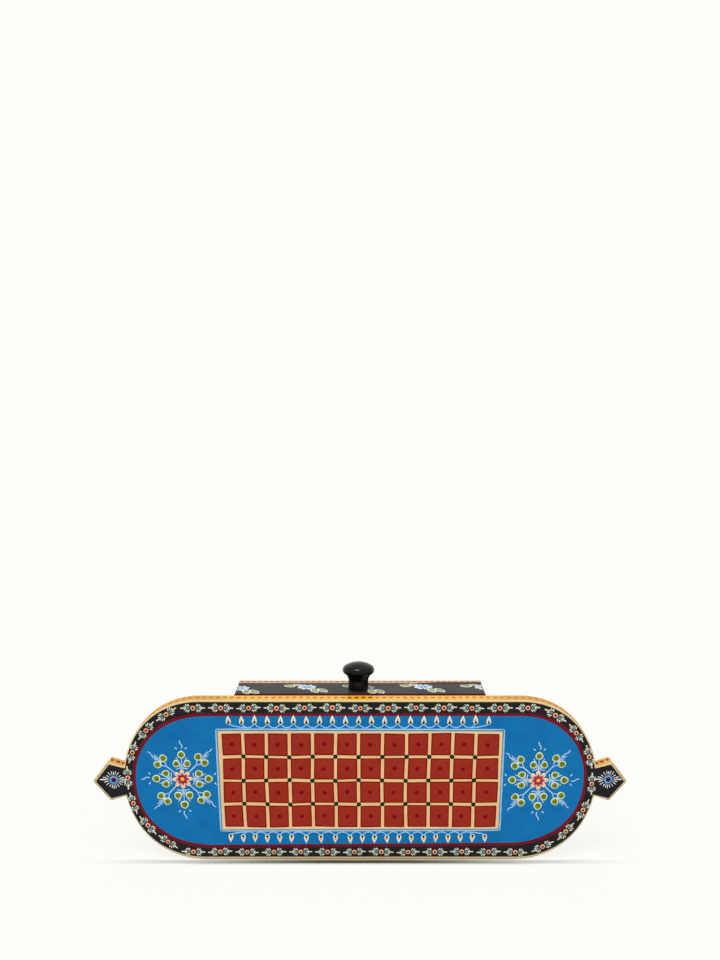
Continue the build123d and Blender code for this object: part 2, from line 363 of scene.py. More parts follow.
@dataclass(frozen=True)
class HalfRound:
    """The rounded top of a stick along X: u runs along it, v round it."""

    middle: tuple[float, float, float]
    radius: float

    def lay(self, flat: Array, lift: Array) -> Array:
        """Point = on a circle of radius plus lift, turned by v over the radius, in metres.

        Args:
            flat: Places u and v.
            lift: Height over the ground at each place.

        Returns:
            The points.
        """
        turn = flat[..., 1] / self.radius
        reach = self.radius + lift
        x = self.middle[0] + flat[..., 0]
        y = self.middle[1] + reach * np.sin(turn)
        return np.stack([x, y, self.middle[2] + reach * np.cos(turn)], -1) * METRES


Ground = Plane | Rim | HalfRound


@dataclass(frozen=True)
class Shell:
    """One or more closed surfaces: their points, their four-sided and their three-sided faces."""

    points: Array
    quads: Array
    triangles: Array

    def outwards(self) -> "Shell":
        """The same shell with its faces turned so that its signed volume is positive.

        Returns:
            This shell, or one with every face turned over.
        """
        first = np.vstack([self.quads[:, :3], self.triangles])
        second = self.quads[:, [0, 2, 3]]
        a, b, c = (self.points[np.vstack([first, second])[:, i]] for i in range(3))
        if np.sum(a * np.cross(b, c)) >= 0:
            return self
        return Shell(self.points, self.quads[:, ::-1], self.triangles[:, ::-1])


def capped(rings: Array, first: Array, last: Array) -> Shell:
    """Stacks of rings, joined into skins and closed by a pole at either end.

    Point number = stack * (rings * steps + 2) + ring * steps + step, then the two poles.

    Args:
        rings: Points, as stacks by rings by steps by three.
        first: Pole below the first ring of each stack.
        last: Pole above the last ring of each stack.

    Returns:
        The closed shells.
    """
    stacks, levels, steps, _ = rings.shape
    size = levels * steps + 2
    stack = np.arange(stacks)[:, None, None] * size
    level = np.arange(levels - 1)[:, None] * steps
    step = np.arange(steps)[None, :]
    after = (step + 1) % steps
    skin = np.stack([level + step, level + after, level + steps + after, level + steps + step], -1)
    top = (levels - 1) * steps
    low = np.stack([np.full(steps, size - 2), after[0], step[0]], -1)
    high = np.stack([np.full(steps, size - 1), top + step[0], top + after[0]], -1)
    points = np.concatenate([rings.reshape(stacks, -1, 3), first[:, None], last[:, None]], 1)
    quads = skin.reshape(1, -1, 4) + stack
    triangles = np.vstack([low, high])[None] + stack
    return Shell(points.reshape(-1, 3), quads.reshape(-1, 4), triangles.reshape(-1, 3)).outwards()


def painted(ground: Ground, strokes: Strokes, brush: Brush, level: float, relief: float, steps: int = 5,
            reach: float = math.inf) -> Shell:
    """Brush strokes as low domes of paint.

    The middle line is (1-t)^2 start + 2t(1-t) pull + t^2 end. Each section is half an ellipse, as
    wide as the brush's curve says and as high as its square root, on a short skirt.

    Args:
        ground: Surface that the paint lies on.
        strokes: Rows of start, pull, end and width.
        brush: Outline of each stroke.
        level: Height of the paint that it lies on.
        relief: Height of the dome above that.
        steps: Sections along a stroke.
        reach: Where the ground ends to either side, so that a stroke stops there.

    Returns:
        One closed shell per stroke.
    """
    strokes = np.asarray(strokes, float)
    start, pull, end = (strokes[:, None, i : i + 2] for i in (0, 2, 4))
    t = ((1 - np.cos(np.pi * np.arange(1, steps + 1) / (steps + 1))) / 2)[None, :, None]
    middle = (1 - t) ** 2 * start + 2 * t * (1 - t) * pull + t**2 * end
    way = (1 - t) * (pull - start) + t * (end - pull)
    way /= np.linalg.norm(way, axis=-1, keepdims=True)
    across = np.stack([-way[..., 1], way[..., 0]], -1)
    share = brush.width(t[..., 0])
    swing = np.linspace(0, np.pi, DOME_STEPS)
    side = np.concatenate([np.cos(swing), [-1.0, 1.0]])
    rise = np.concatenate([level + relief * np.sin(swing), [level - SKIRT] * 2])
    half = (strokes[:, None, 6] / 2 * share)[..., None] * side
    flat = middle[..., None, :] + across[..., None, :] * half[..., None]
    flat[..., 0] = np.clip(flat[..., 0], -reach, reach)
    start, end = (np.stack([np.clip(at[:, 0, 0], -reach, reach), at[:, 0, 1]], -1) for at in (start, end))
    lift = level + (rise - level) * np.sqrt(share)[..., None]
    lift = np.broadcast_to(lift, flat.shape[:-1])
    poles = np.full(len(strokes), level)
    return capped(ground.lay(flat, lift), ground.lay(start, poles), ground.lay(end, poles))


def coat(ground: Ground, upper: Array, lower: Array, under: float, over: float) -> Shell:
    """A flat coat of paint between an upper and a lower edge line, with a square edge.

    Args:
        ground: Surface that the paint lies on.
        upper: Places along the upper edge.
        lower: Matching places along the lower edge.
        under: Height of its underside.
        over: Height of its face.

    Returns:
        One closed shell.
    """
    flat = np.stack([upper, lower, lower, upper], 1)[None]
    lift = np.broadcast_to(np.array([over, over, under, under]), flat.shape[:-1])
    rings = ground.lay(flat, lift)
    return capped(rings, rings[:, 0].mean(1), rings[:, -1].mean(1))


def patches(ground: Ground, corners: Array, level: float, relief: float, roundness: float = 0.12) -> Shell:
    """Four-cornered patches of paint with softened corners.

    Each ring is a rounded square, |cos|^roundness by |sin|^roundness, carried into the patch by the
    two-way blend of its corners. The last ring is drawn in a little and raised.

    Args:
        ground: Surface that the paint lies on.
        corners: Corners of each patch, going round, as patches by four by two.
        level: Height of the paint below.
        relief: Height above that.
        roundness: How round the corners are.

    Returns:
        One closed shell per patch.
    """
    turn = (np.arange(PATCH_STEPS) + 0.5) / PATCH_STEPS * 2 * np.pi
    square = [np.sign(wave) * np.abs(wave) ** roundness for wave in (np.cos(turn), np.sin(turn))]
    drawn = np.array([1.0, 1.0, PATCH_FACE])[:, None]
    s, t = ((1 + drawn * axis[None, :]) / 2 for axis in square)
    weights = np.stack([(1 - s) * (1 - t), s * (1 - t), s * t, (1 - s) * t], -1)
    flat = np.einsum("rsk,pki->prsi", weights, corners)
    heights = np.array([level - SKIRT, level + relief / 2, level + relief])
    lift = np.broadcast_to(heights[None, :, None], flat.shape[:-1])
    centre = corners.mean(1)
    low = ground.lay(centre, np.full(len(centre), level - SKIRT))
    high = ground.lay(centre, np.full(len(centre), level + relief))
    return capped(ground.lay(flat, lift), low, high)


def hoops(centres: Array, radii: Array, thickness: float) -> Shell:
    """Thin raised rings round upright axes: a circle carried round a circle.

    Args:
        centres: Middle of each ring, in millimetres.
        radii: Radius of each ring.
        thickness: Thickness of the ring's own section.

    Returns:
        One closed shell per ring.
    """
    turn = np.arange(HOOP_STEPS) / HOOP_STEPS * 2 * np.pi
    section = np.arange(HOOP_SIDES) / HOOP_SIDES * 2 * np.pi
    reach = radii[:, None, None] + thickness / 2 * np.cos(section)
    x = centres[:, 0, None, None] + reach * np.cos(turn)[:, None]
    y = centres[:, 1, None, None] + reach * np.sin(turn)[:, None]
    z = centres[:, 2, None, None] + thickness / 2 * np.sin(section) + 0 * x
    points = np.stack([x, y, z], -1) * METRES
    step, side = np.meshgrid(np.arange(HOOP_STEPS), np.arange(HOOP_SIDES), indexing="ij")
    next_step, next_side = (step + 1) % HOOP_STEPS, (side + 1) % HOOP_SIDES
    round_face = ((step, side), (next_step, side), (next_step, next_side), (step, next_side))
    faces = np.stack([HOOP_SIDES * along + across for along, across in round_face], -1)
    first = np.arange(len(centres))[:, None, None] * HOOP_STEPS * HOOP_SIDES
    quads = faces.reshape(1, -1, 4) + first
    return Shell(points.reshape(-1, 3), quads.reshape(-1, 4), np.zeros((0, 3), int)).outwards()


def joined(shells: Sequence[Shell]) -> Shell:
    """Several shells as one, their point numbers shifted."""
    shifts = np.cumsum([0] + [len(shell.points) for shell in shells[:-1]])
    return Shell(
        np.vstack([shell.points for shell in shells]),
        np.vstack([shell.quads + shift for shell, shift in zip(shells, shifts)]),
        np.vstack([shell.triangles + shift for shell, shift in zip(shells, shifts)]),
    )


def make_piece(name: str, shell: Shell, material: bpy.types.Material, body: str) -> bpy.types.Object:
    """Puts a shell into a mesh object that rides on a body and takes the finish it is given.

    Args:
        name: Name of the piece.
        shell: Its surface, in metres.
        material: Its finish.
        body: The body that carries it.

    Returns:
        The new object.
    """
    mesh = bpy.data.meshes.new(name)
    sides = np.concatenate([np.full(len(shell.quads), 4), np.full(len(shell.triangles), 3)])
    mesh.vertices.add(len(shell.points))
    mesh.vertices.foreach_set("co", shell.points.astype(np.float32).ravel())
    mesh.loops.add(int(sides.sum()))
    mesh.loops.foreach_set("vertex_index", np.concatenate([shell.quads.ravel(), shell.triangles.ravel()]))
    mesh.polygons.add(len(sides))
    mesh.polygons.foreach_set("loop_start", np.concatenate([[0], np.cumsum(sides)[:-1]]))
    mesh.polygons.foreach_set("use_smooth", np.ones(len(sides), bool))
    mesh.update(calc_edges=True)
    mesh.set_sharp_from_angle(angle=SMOOTH_UNTIL)
    mesh.materials.append(material)
    piece = bpy.data.objects.new(name, mesh)
    bpy.context.scene.collection.objects.link(piece)
    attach(piece, body)
    log.info("%s: %d faces on %s", name, len(sides), body)
    return piece


Socket = bpy.types.NodeSocket
Value = float | tuple | Socket


def linear(colour: Rgb) -> tuple[float, float, float, float]:
    """A display colour from 0 to 255 as the light it stands for.

    Light = share / 12.92 for the darkest shares and ((share + 0.055) / 1.055)^2.4 above them.

    Args:
        colour: Red, green and blue.

    Returns:
        Their light, and a full alpha.
    """
    shares = [channel / 255 for channel in colour]
    red, green, blue = (s / 12.92 if s <= 0.04045 else ((s + 0.055) / 1.055) ** 2.4 for s in shares)
    return red, green, blue, 1.0


class Graph:
    """A node tree with short ways to add nodes and link them."""

    def __init__(self, tree: bpy.types.NodeTree) -> None:
        """Starts with the tree's own nodes."""
        self.tree = tree

    def add(self, kind: str, inputs: dict[str | int, Value], **settings: object) -> bpy.types.Node:
        """Adds a node, sets its options, then sets or links its inputs.

        Args:
            kind: The node's type.
            inputs: Values or sockets by the input's name or number.
            settings: Options of the node.

        Returns:
            The node.
        """
        node = self.tree.nodes.new(kind)
        for name, value in settings.items():
            setattr(node, name, value)
        for name, value in inputs.items():
            self.feed(node.inputs[name], value)
        return node

    def feed(self, socket: Socket, value: Value) -> None:
        """Links a socket to another, or gives it a fixed value."""
        if isinstance(value, bpy.types.NodeSocket):
            self.tree.links.new(value, socket)
        else:
            socket.default_value = value

    def math(self, operation: str, first: Value, second: Value = 0.0) -> Socket:
        """One step of arithmetic."""
        return self.add("ShaderNodeMath", {0: first, 1: second}, operation=operation).outputs[0]

    def blend(self, share: Value, first: Value, second: Value) -> Socket:
        """A colour between two, by a share."""
        node = self.add("ShaderNodeMix", {0: share, 6: first, 7: second}, data_type="RGBA")
        return node.outputs[2]

    def step(self, value: Value, low: Value, high: Value) -> Socket:
        """A soft step from 0 at low to 1 at high."""
        inputs = {"Value": value, "From Min": low, "From Max": high}
        return self.add("ShaderNodeMapRange", inputs, interpolation_type="SMOOTHSTEP").outputs[0]

    def noise(self, vector: Socket, scale: Value, detail: float = 3.0) -> Socket:
        """Smooth noise between 0 and 1."""
        inputs = {"Vector": vector, "Scale": scale, "Detail": detail}
        return self.add("ShaderNodeTexNoise", inputs).outputs[0]

    def place(self, stretch: tuple[float, float, float] = (1.0, 1.0, 1.0)) -> Socket:
        """The piece's own coordinates in metres, stretched."""
        inputs = {0: self.add("ShaderNodeTexCoord", {}).outputs["Object"], 1: stretch}
        return self.add("ShaderNodeVectorMath", inputs, operation="MULTIPLY").outputs[0]

    def axis(self, number: int) -> Socket:
        """One of the piece's own coordinates in metres."""
        return self.add("ShaderNodeSeparateXYZ", {0: self.place()}).outputs[number]

    def by_distance(self, paints: Stops) -> Socket:
        """Colour by the distance from the board's middle along X, each paint fading into the next.

        Args:
            paints: Distances in millimetres, each with the paint that has taken over there.

        Returns:
            The colour.
        """
        away = self.math("ABSOLUTE", self.axis(0))
        colour = linear(paints[0][1])
        for start, paint in paints[1:]:
            fade = min(LONGEST_FADE, start / 4)
            share = self.step(away, (start - fade) * METRES, (start + fade) * METRES)
            colour = self.blend(share, colour, linear(paint))
        return colour

    def group(self, tree: bpy.types.NodeTree, inputs: dict[str, Value]) -> bpy.types.Node:
        """Places a shared effect with its own values.

        Args:
            tree: The effect's node group.
            inputs: Values or sockets by the input's name.

        Returns:
            The node that holds it.
        """
        node = self.tree.nodes.new("ShaderNodeGroup")
        node.node_tree = tree
        for name, value in inputs.items():
            self.feed(node.inputs[name], value)
        return node


class Effect:
    """A shader node group with named inputs and outputs."""

    def __init__(self, name: str, inputs: dict[str, str], outputs: dict[str, str]) -> None:
        """Makes the group's sockets; the kinds are Float, Color or Vector.

        Args:
            name: Name of the group.
            inputs: Kind of each input, by its name.
            outputs: Kind of each output, by its name.
        """
        self.tree = bpy.data.node_groups.new(name, "ShaderNodeTree")
        for label, kind in inputs.items():
            self.tree.interface.new_socket(label, in_out="INPUT", socket_type="NodeSocket" + kind)
        for label, kind in outputs.items():
            self.tree.interface.new_socket(label, in_out="OUTPUT", socket_type="NodeSocket" + kind)
        self.graph = Graph(self.tree)
        self.given = self.tree.nodes.new("NodeGroupInput").outputs
        self.result = self.tree.nodes.new("NodeGroupOutput").inputs


def build_brushwork() -> bpy.types.NodeTree:
    """Hand-laid paint: cloudy tone, fine streaks along the brush and a slight uneven surface.

    Tone = 0.65 cloud + 0.35 streak. It gives the height, and a soft step of it the share of shade.

    Returns:
        The node group.
    """
    inputs = {"Place": "Vector", "Colour": "Color", "Shade": "Color", "Mottle": "Float", "Size": "Float"}
    effect = Effect("brushwork", inputs, {"Colour": "Color", "Height": "Float", "Uneven": "Float"})
    graph, given = effect.graph, effect.given
    cloud = graph.noise(given["Place"], graph.math("DIVIDE", 1.0, given["Size"]), 4.0)
    drawn = graph.add("ShaderNodeVectorMath", {0: given["Place"], 1: (0.22, 1.0, 1.3)}, operation="MULTIPLY")
    streak = graph.noise(drawn.outputs[0], graph.math("DIVIDE", 3.6, given["Size"]), 2.0)
    tone = graph.math("ADD", graph.math("MULTIPLY", cloud, 0.65), graph.math("MULTIPLY", streak, 0.35))
    share = graph.math("MULTIPLY", graph.step(tone, 0.36, 0.66), given["Mottle"])
    graph.feed(effect.result["Colour"], graph.blend(share, given["Colour"], given["Shade"]))
    graph.feed(effect.result["Height"], tone)
    graph.feed(effect.result["Uneven"], cloud)
    return effect.tree


def build_wood() -> bpy.types.NodeTree:
    """Sawn wood: wavering growth bands across the grain, long pores along it.

    Band = (1 + sin(2 pi (across / width + slow noise))) / 2. The dark share is 0.55 band + 0.3 pores.

    Returns:
        The node group.
    """
    inputs = {"Place": "Vector", "Light": "Color", "Dark": "Color", "Band": "Float"}
    effect = Effect("sawn_wood", inputs, {"Colour": "Color", "Height": "Float"})
    graph, given = effect.graph, effect.given
    slow = graph.noise(given["Place"], 14.0, 2.0)
    split = graph.add("ShaderNodeSeparateXYZ", {0: given["Place"]}).outputs
    across = graph.math("ADD", split[1], graph.math("MULTIPLY", split[2], 0.35))
    phase = graph.math("ADD", graph.math("DIVIDE", across, given["Band"]), graph.math("MULTIPLY", slow, 7.0))
    wave = graph.math("SINE", graph.math("MULTIPLY", phase, 2 * math.pi))
    band = graph.math("MULTIPLY", graph.math("ADD", wave, 1.0), 0.5)
    long = graph.add("ShaderNodeVectorMath", {0: given["Place"], 1: (0.06, 1.0, 1.0)}, operation="MULTIPLY")
    pores = graph.step(graph.noise(long.outputs[0], 900.0, 2.0), 0.5, 0.72)
    share = graph.math("ADD", graph.math("MULTIPLY", band, 0.55), graph.math("MULTIPLY", pores, 0.3))
    graph.feed(effect.result["Colour"], graph.blend(share, given["Light"], given["Dark"]))
    graph.feed(effect.result["Height"], graph.math("SUBTRACT", 1.0, pores))
    return effect.tree


def build_rubbed() -> bpy.types.NodeTree:
    """Handling wear: fine scuffs that lift the tone and dull the gloss, most in broad patches.

    The share of dust is patch times scuff times wear, and the dullness is patch times wear.

    Returns:
        The node group.
    """
    effect = Effect("rubbed", {"Place": "Vector", "Colour": "Color", "Dust": "Color", "Wear": "Float"},
                    {"Colour": "Color", "Dull": "Float"})
    graph, given = effect.graph, effect.given
    patch = graph.step(graph.noise(given["Place"], 38.0, 3.0), 0.45, 0.75)
    scuff = graph.step(graph.noise(given["Place"], 520.0, 4.0), 0.52, 0.7)
    share = graph.math("MULTIPLY", graph.math("MULTIPLY", patch, scuff), given["Wear"])
    graph.feed(effect.result["Colour"], graph.blend(share, given["Colour"], given["Dust"]))
    graph.feed(effect.result["Dull"], graph.math("MULTIPLY", patch, given["Wear"]))
    return effect.tree


BRUSHWORK = build_brushwork()
WOOD = build_wood()
RUBBED = build_rubbed()


@dataclass(frozen=True)
class Surface:
    """How the light leaves a finish: roughness, its spread, gloss, coat and relief of the surface."""

    roughness: float
    gloss: float = 0.25
    coat: float = 0.0
    coat_roughness: float = 0.1
    metallic: float = 0.0
    spread: float = 0.12
    relief: float = 0.05


SATIN = Surface(0.42, gloss=0.06)
MATT = Surface(0.8, gloss=0.0)


class Finish:
    """A material under construction: one Principled shader, fed by its colour, tone and height."""

    def __init__(self, name: str, surface: Surface) -> None:
        """Sets the constants of the finish on the shader's own sockets.

        Args:
            name: Name of the material.
            surface: How the light leaves it.
        """
        self.material = bpy.data.materials.new(name)
        self.material.use_nodes = True
        self.graph = Graph(self.material.node_tree)
        self.place = self.graph.place()
        self.shader = self.material.node_tree.nodes["Principled BSDF"]
        self.surface = surface
        self.shader.inputs["Specular IOR Level"].default_value = surface.gloss
        self.shader.inputs["Coat Weight"].default_value = surface.coat
        self.shader.inputs["Coat Roughness"].default_value = surface.coat_roughness
        self.shader.inputs["Metallic"].default_value = surface.metallic

    def brushwork(self, colour: Value, shade: Value, mottle: float, cloud: float) -> bpy.types.Node:
        """Places brushwork: a colour that clouds by the mottle into a shade, cloud in millimetres."""
        return self.graph.group(BRUSHWORK, {"Place": self.place, "Colour": colour, "Shade": shade,
                                            "Mottle": mottle, "Size": cloud * METRES})

    def grain(self, light: Rgb, dark: Rgb, band: float) -> bpy.types.Node:
        """Places sawn wood in two colours, its growth bands given in millimetres."""
        return self.graph.group(WOOD, {"Place": self.place, "Light": linear(light), "Dark": linear(dark),
                                       "Band": band * METRES})

    def rubbed(self, colour: Value, dust: Rgb, wear: float) -> bpy.types.Node:
        """Places handling wear over a colour, by the colour of its dust and its share."""
        return self.graph.group(RUBBED, {"Place": self.place, "Colour": colour, "Dust": linear(dust),
                                         "Wear": wear})

    def close(self, colour: Value, height: Socket, dull: Socket) -> bpy.types.Material:
        """Feeds colour, roughness = base + spread * dull, and a bump from the height.

        Args:
            colour: Colour of the surface.
            height: Height, 0 to 1, times the relief in millimetres.
            dull: Where the surface is duller, 0 to 1.

        Returns:
            The material.
        """
        graph = self.graph
        graph.feed(self.shader.inputs["Base Color"], colour)
        spread = graph.math("MULTIPLY", dull, self.surface.spread)
        graph.feed(self.shader.inputs["Roughness"], graph.math("ADD", spread, self.surface.roughness))
        inputs = {"Height": height, "Distance": self.surface.relief * METRES, "Strength": BUMP_STRENGTH}
        bump = graph.add("ShaderNodeBump", inputs)
        graph.feed(self.shader.inputs["Normal"], bump.outputs[0])
        return self.material


@dataclass(frozen=True)
class Paint:
    """A brushed paint: its colour, the shade it clouds into, and how it shines."""

    name: str
    colour: Rgb
    shade: Rgb
    mottle: float = 0.6
    cloud: float = 9.0
    surface: Surface = SATIN

    def build(self) -> bpy.types.Material:
        """Brushwork in the paint's two colours.

        Returns:
            The material.
        """
        finish = Finish(self.name, self.surface)
        work = finish.brushwork(linear(self.colour), linear(self.shade), self.mottle, self.cloud).outputs
        return finish.close(work["Colour"], work["Height"], work["Uneven"])


class Pigment(Enum):
    """Every plain brushed paint on the object."""

    BLACK = Paint("black_ground", (35, 35, 39), (28, 27, 31))
    RED_LINE = Paint("red_line", (118, 26, 38), (94, 18, 28))
    BLUE = Paint("blue_field", (21, 119, 180), (16, 104, 165), cloud=16.0)
    SLATE = Paint("slate_line", (74, 104, 138), (58, 84, 116))
    PALE_LINE = Paint("pale_line", (162, 208, 242), (130, 188, 232))
    CREAM = Paint("cream_lines", (246, 199, 142), (232, 184, 126))
    FRAME = Paint("cream_frame", (234, 207, 158), (224, 194, 144))
    SQUARE_EDGE = Paint("square_edges", (112, 7, 2), (98, 4, 0))
    SQUARE = Paint("squares", (160, 47, 32), (150, 41, 30))
    SPOT = Paint("square_spot", (122, 13, 21), (108, 9, 17))
    MAROON = Paint("maroon", (120, 12, 46), (104, 8, 38))
    DARK_GREEN = Paint("dark_green", (14, 26, 14), (8, 16, 8))
    GREEN = Paint("green_spot", (30, 66, 20), (20, 48, 14))
    FLAME = Paint("flame_cream", (238, 238, 206), (222, 220, 182))
    ORANGE = Paint("orange_core", (214, 138, 84), (192, 112, 62))
    INK = Paint("ink", (12, 9, 9), (8, 6, 6), surface=MATT)
    STEM = Paint("stem_blue", (156, 206, 244), (128, 188, 236))
    CORAL = Paint("coral_ring", (252, 182, 136), (242, 152, 108))
    RUST = Paint("rust_shadow", (132, 44, 22), (110, 34, 18))
    SKY = Paint("sky_heart", (96, 152, 180), (72, 126, 156))
    PALE_PETAL = Paint("pale_petal", (222, 226, 200), (198, 206, 176))
    DASH = Paint("cream_dash", (232, 222, 190), (216, 204, 168))
    PEACH = Paint("peach_petal", (250, 216, 176), (238, 188, 150))
    ROSE = Paint("rose_heart", (192, 46, 62), (158, 28, 44))
    YELLOW = Paint("yellow_eye", (248, 206, 100), (238, 168, 66))
    LEAF_EDGE = Paint("leaf_edge", (226, 236, 200), (204, 220, 180))
    LEAF = Paint("leaf", (124, 140, 26), (110, 112, 24))
    LEAF_POINT = Paint("leaf_point", (86, 96, 14), (72, 80, 12))
    FROST = Paint("frost_stroke", (202, 228, 252), (172, 208, 244))
    TAN = Paint("tan_line", (158, 136, 96), (138, 116, 80))
    DAISY_RAY = Paint("daisy_ray", (236, 234, 232), (214, 212, 212))
    DAISY_RING = Paint("daisy_ring", (104, 168, 220), (84, 148, 206))
    DAISY_SHADE = Paint("daisy_shade", (52, 62, 92), (44, 40, 62))
    STRIPE = Paint("maroon_stripe", (92, 6, 2), (76, 2, 0), surface=MATT)
    SPRAY_PETAL = Paint("spray_petal", (212, 222, 234), (178, 198, 220), cloud=5.0)
    SPRAY_HEART = Paint("spray_heart", (134, 172, 208), (108, 148, 190))
    SPRAY_LEAF_EDGE = Paint("spray_leaf_edge", (214, 218, 192), (184, 190, 158), cloud=5.0)
    SPRAY_LEAF = Paint("spray_leaf", (118, 130, 88), (90, 102, 64), cloud=4.0)
    SPRAY_VEIN = Paint("spray_vein", (206, 212, 184), (186, 192, 164))

    def material(self) -> bpy.types.Material:
        """The paint's material, built once."""
        return bpy.data.materials.get(self.value.name) or self.value.build()


@dataclass(frozen=True)
class EdgeDash:
    """Brown dash paint of an edge, which changes along the board."""

    name: str
    paints: Stops
    turn: float = 0.2
    mottle: float = 0.8
    cloud: float = 20.0

    def build(self) -> bpy.types.Material:
        """Colour by the distance from the middle; its shade turns a little to the middle's paint.

        Returns:
            The material.
        """
        finish = Finish(self.name, SATIN)
        colour = finish.graph.by_distance(self.paints)
        shade = finish.graph.blend(self.turn, colour, linear(self.paints[0][1]))
        work = finish.brushwork(colour, shade, self.mottle, self.cloud).outputs
        return finish.close(work["Colour"], work["Height"], work["Uneven"])


def evenly(rim: Rim, pitch: float, until: float) -> Array:
    """Places round a plank's edge, apart from where it stands and where it lies too far out.

    Args:
        rim: The edge.
        pitch: Distance from place to place.
        until: Farthest place from the middle to either side.

    Returns:
        Lengths along the edge.
    """
    count = round(rim.outline.length / pitch)
    u = (np.arange(count) + 0.5) * rim.outline.length / count
    place = rim.outline.read(rim.outline.places, u)
    off_foot = place[:, 1] > place[:, 1].min() + DASH_CLEARANCE
    return u[off_foot & (np.abs(place[:, 0]) < until)]


def edge_dashes(rim: Rim, u: Array, length: Array | float, width: float) -> Shell:
    """Oval dashes along a plank's edge, each a little longer or shorter than its length says.

    Args:
        rim: The edge.
        u: Where each dash goes along it.
        length: Size of each dash along the edge.
        width: Size of every dash across the edge.

    Returns:
        One closed shell per dash.
    """
    size = length * (1 + by_hand(np.arange(len(u)), size=0.12, pace=2.1))
    centres = np.stack([u, waver(u, 3.0, 0.4)], -1)
    strokes = placed([dab(-0.5, 0, 0.5, 0, 1.0, 0.07)], centres, 0.0, size)
    strokes[:, 6] = width
    return painted(rim, strokes, Brush.ROUND, 0.0, 0.1)


@dataclass(frozen=True)
class Rosette:
    """A rosette's place, and its four cardinal and four diagonal arms."""

    name: str
    centre: tuple[float, float]
    inner_arm: int
    lengths: tuple[float, ...] = (1.02, 1.0, 1.02, 1.06)
    slant: float = 47.5
    feathers: int = 5

    def arms(self) -> tuple[Array, Array]:
        """Directions of the cardinal and of the diagonal arms, each a little off its quarter turn.

        Returns:
            Both sets of four, in radians.
        """
        quarters = np.arange(4) * math.pi / 2
        off = by_hand(np.arange(8), 0.03, 2.6, self.centre[0])
        return quarters + off[:4], quarters + math.radians(self.slant) + off[4:]

    def on_cardinal(self, motif: Strokes, outer: bool = False) -> Array:
        """A motif on the cardinal arms, or only on those that don't point at the grid."""
        arms = [number for number in range(4) if not (outer and number == self.inner_arm)]
        return fan(motif, self.centre, self.arms()[0][arms], np.array(self.lengths)[arms])

    def on_diagonal(self, motif: Strokes) -> Array:
        """A motif on the diagonal arms."""
        return fan(motif, self.centre, self.arms()[1])


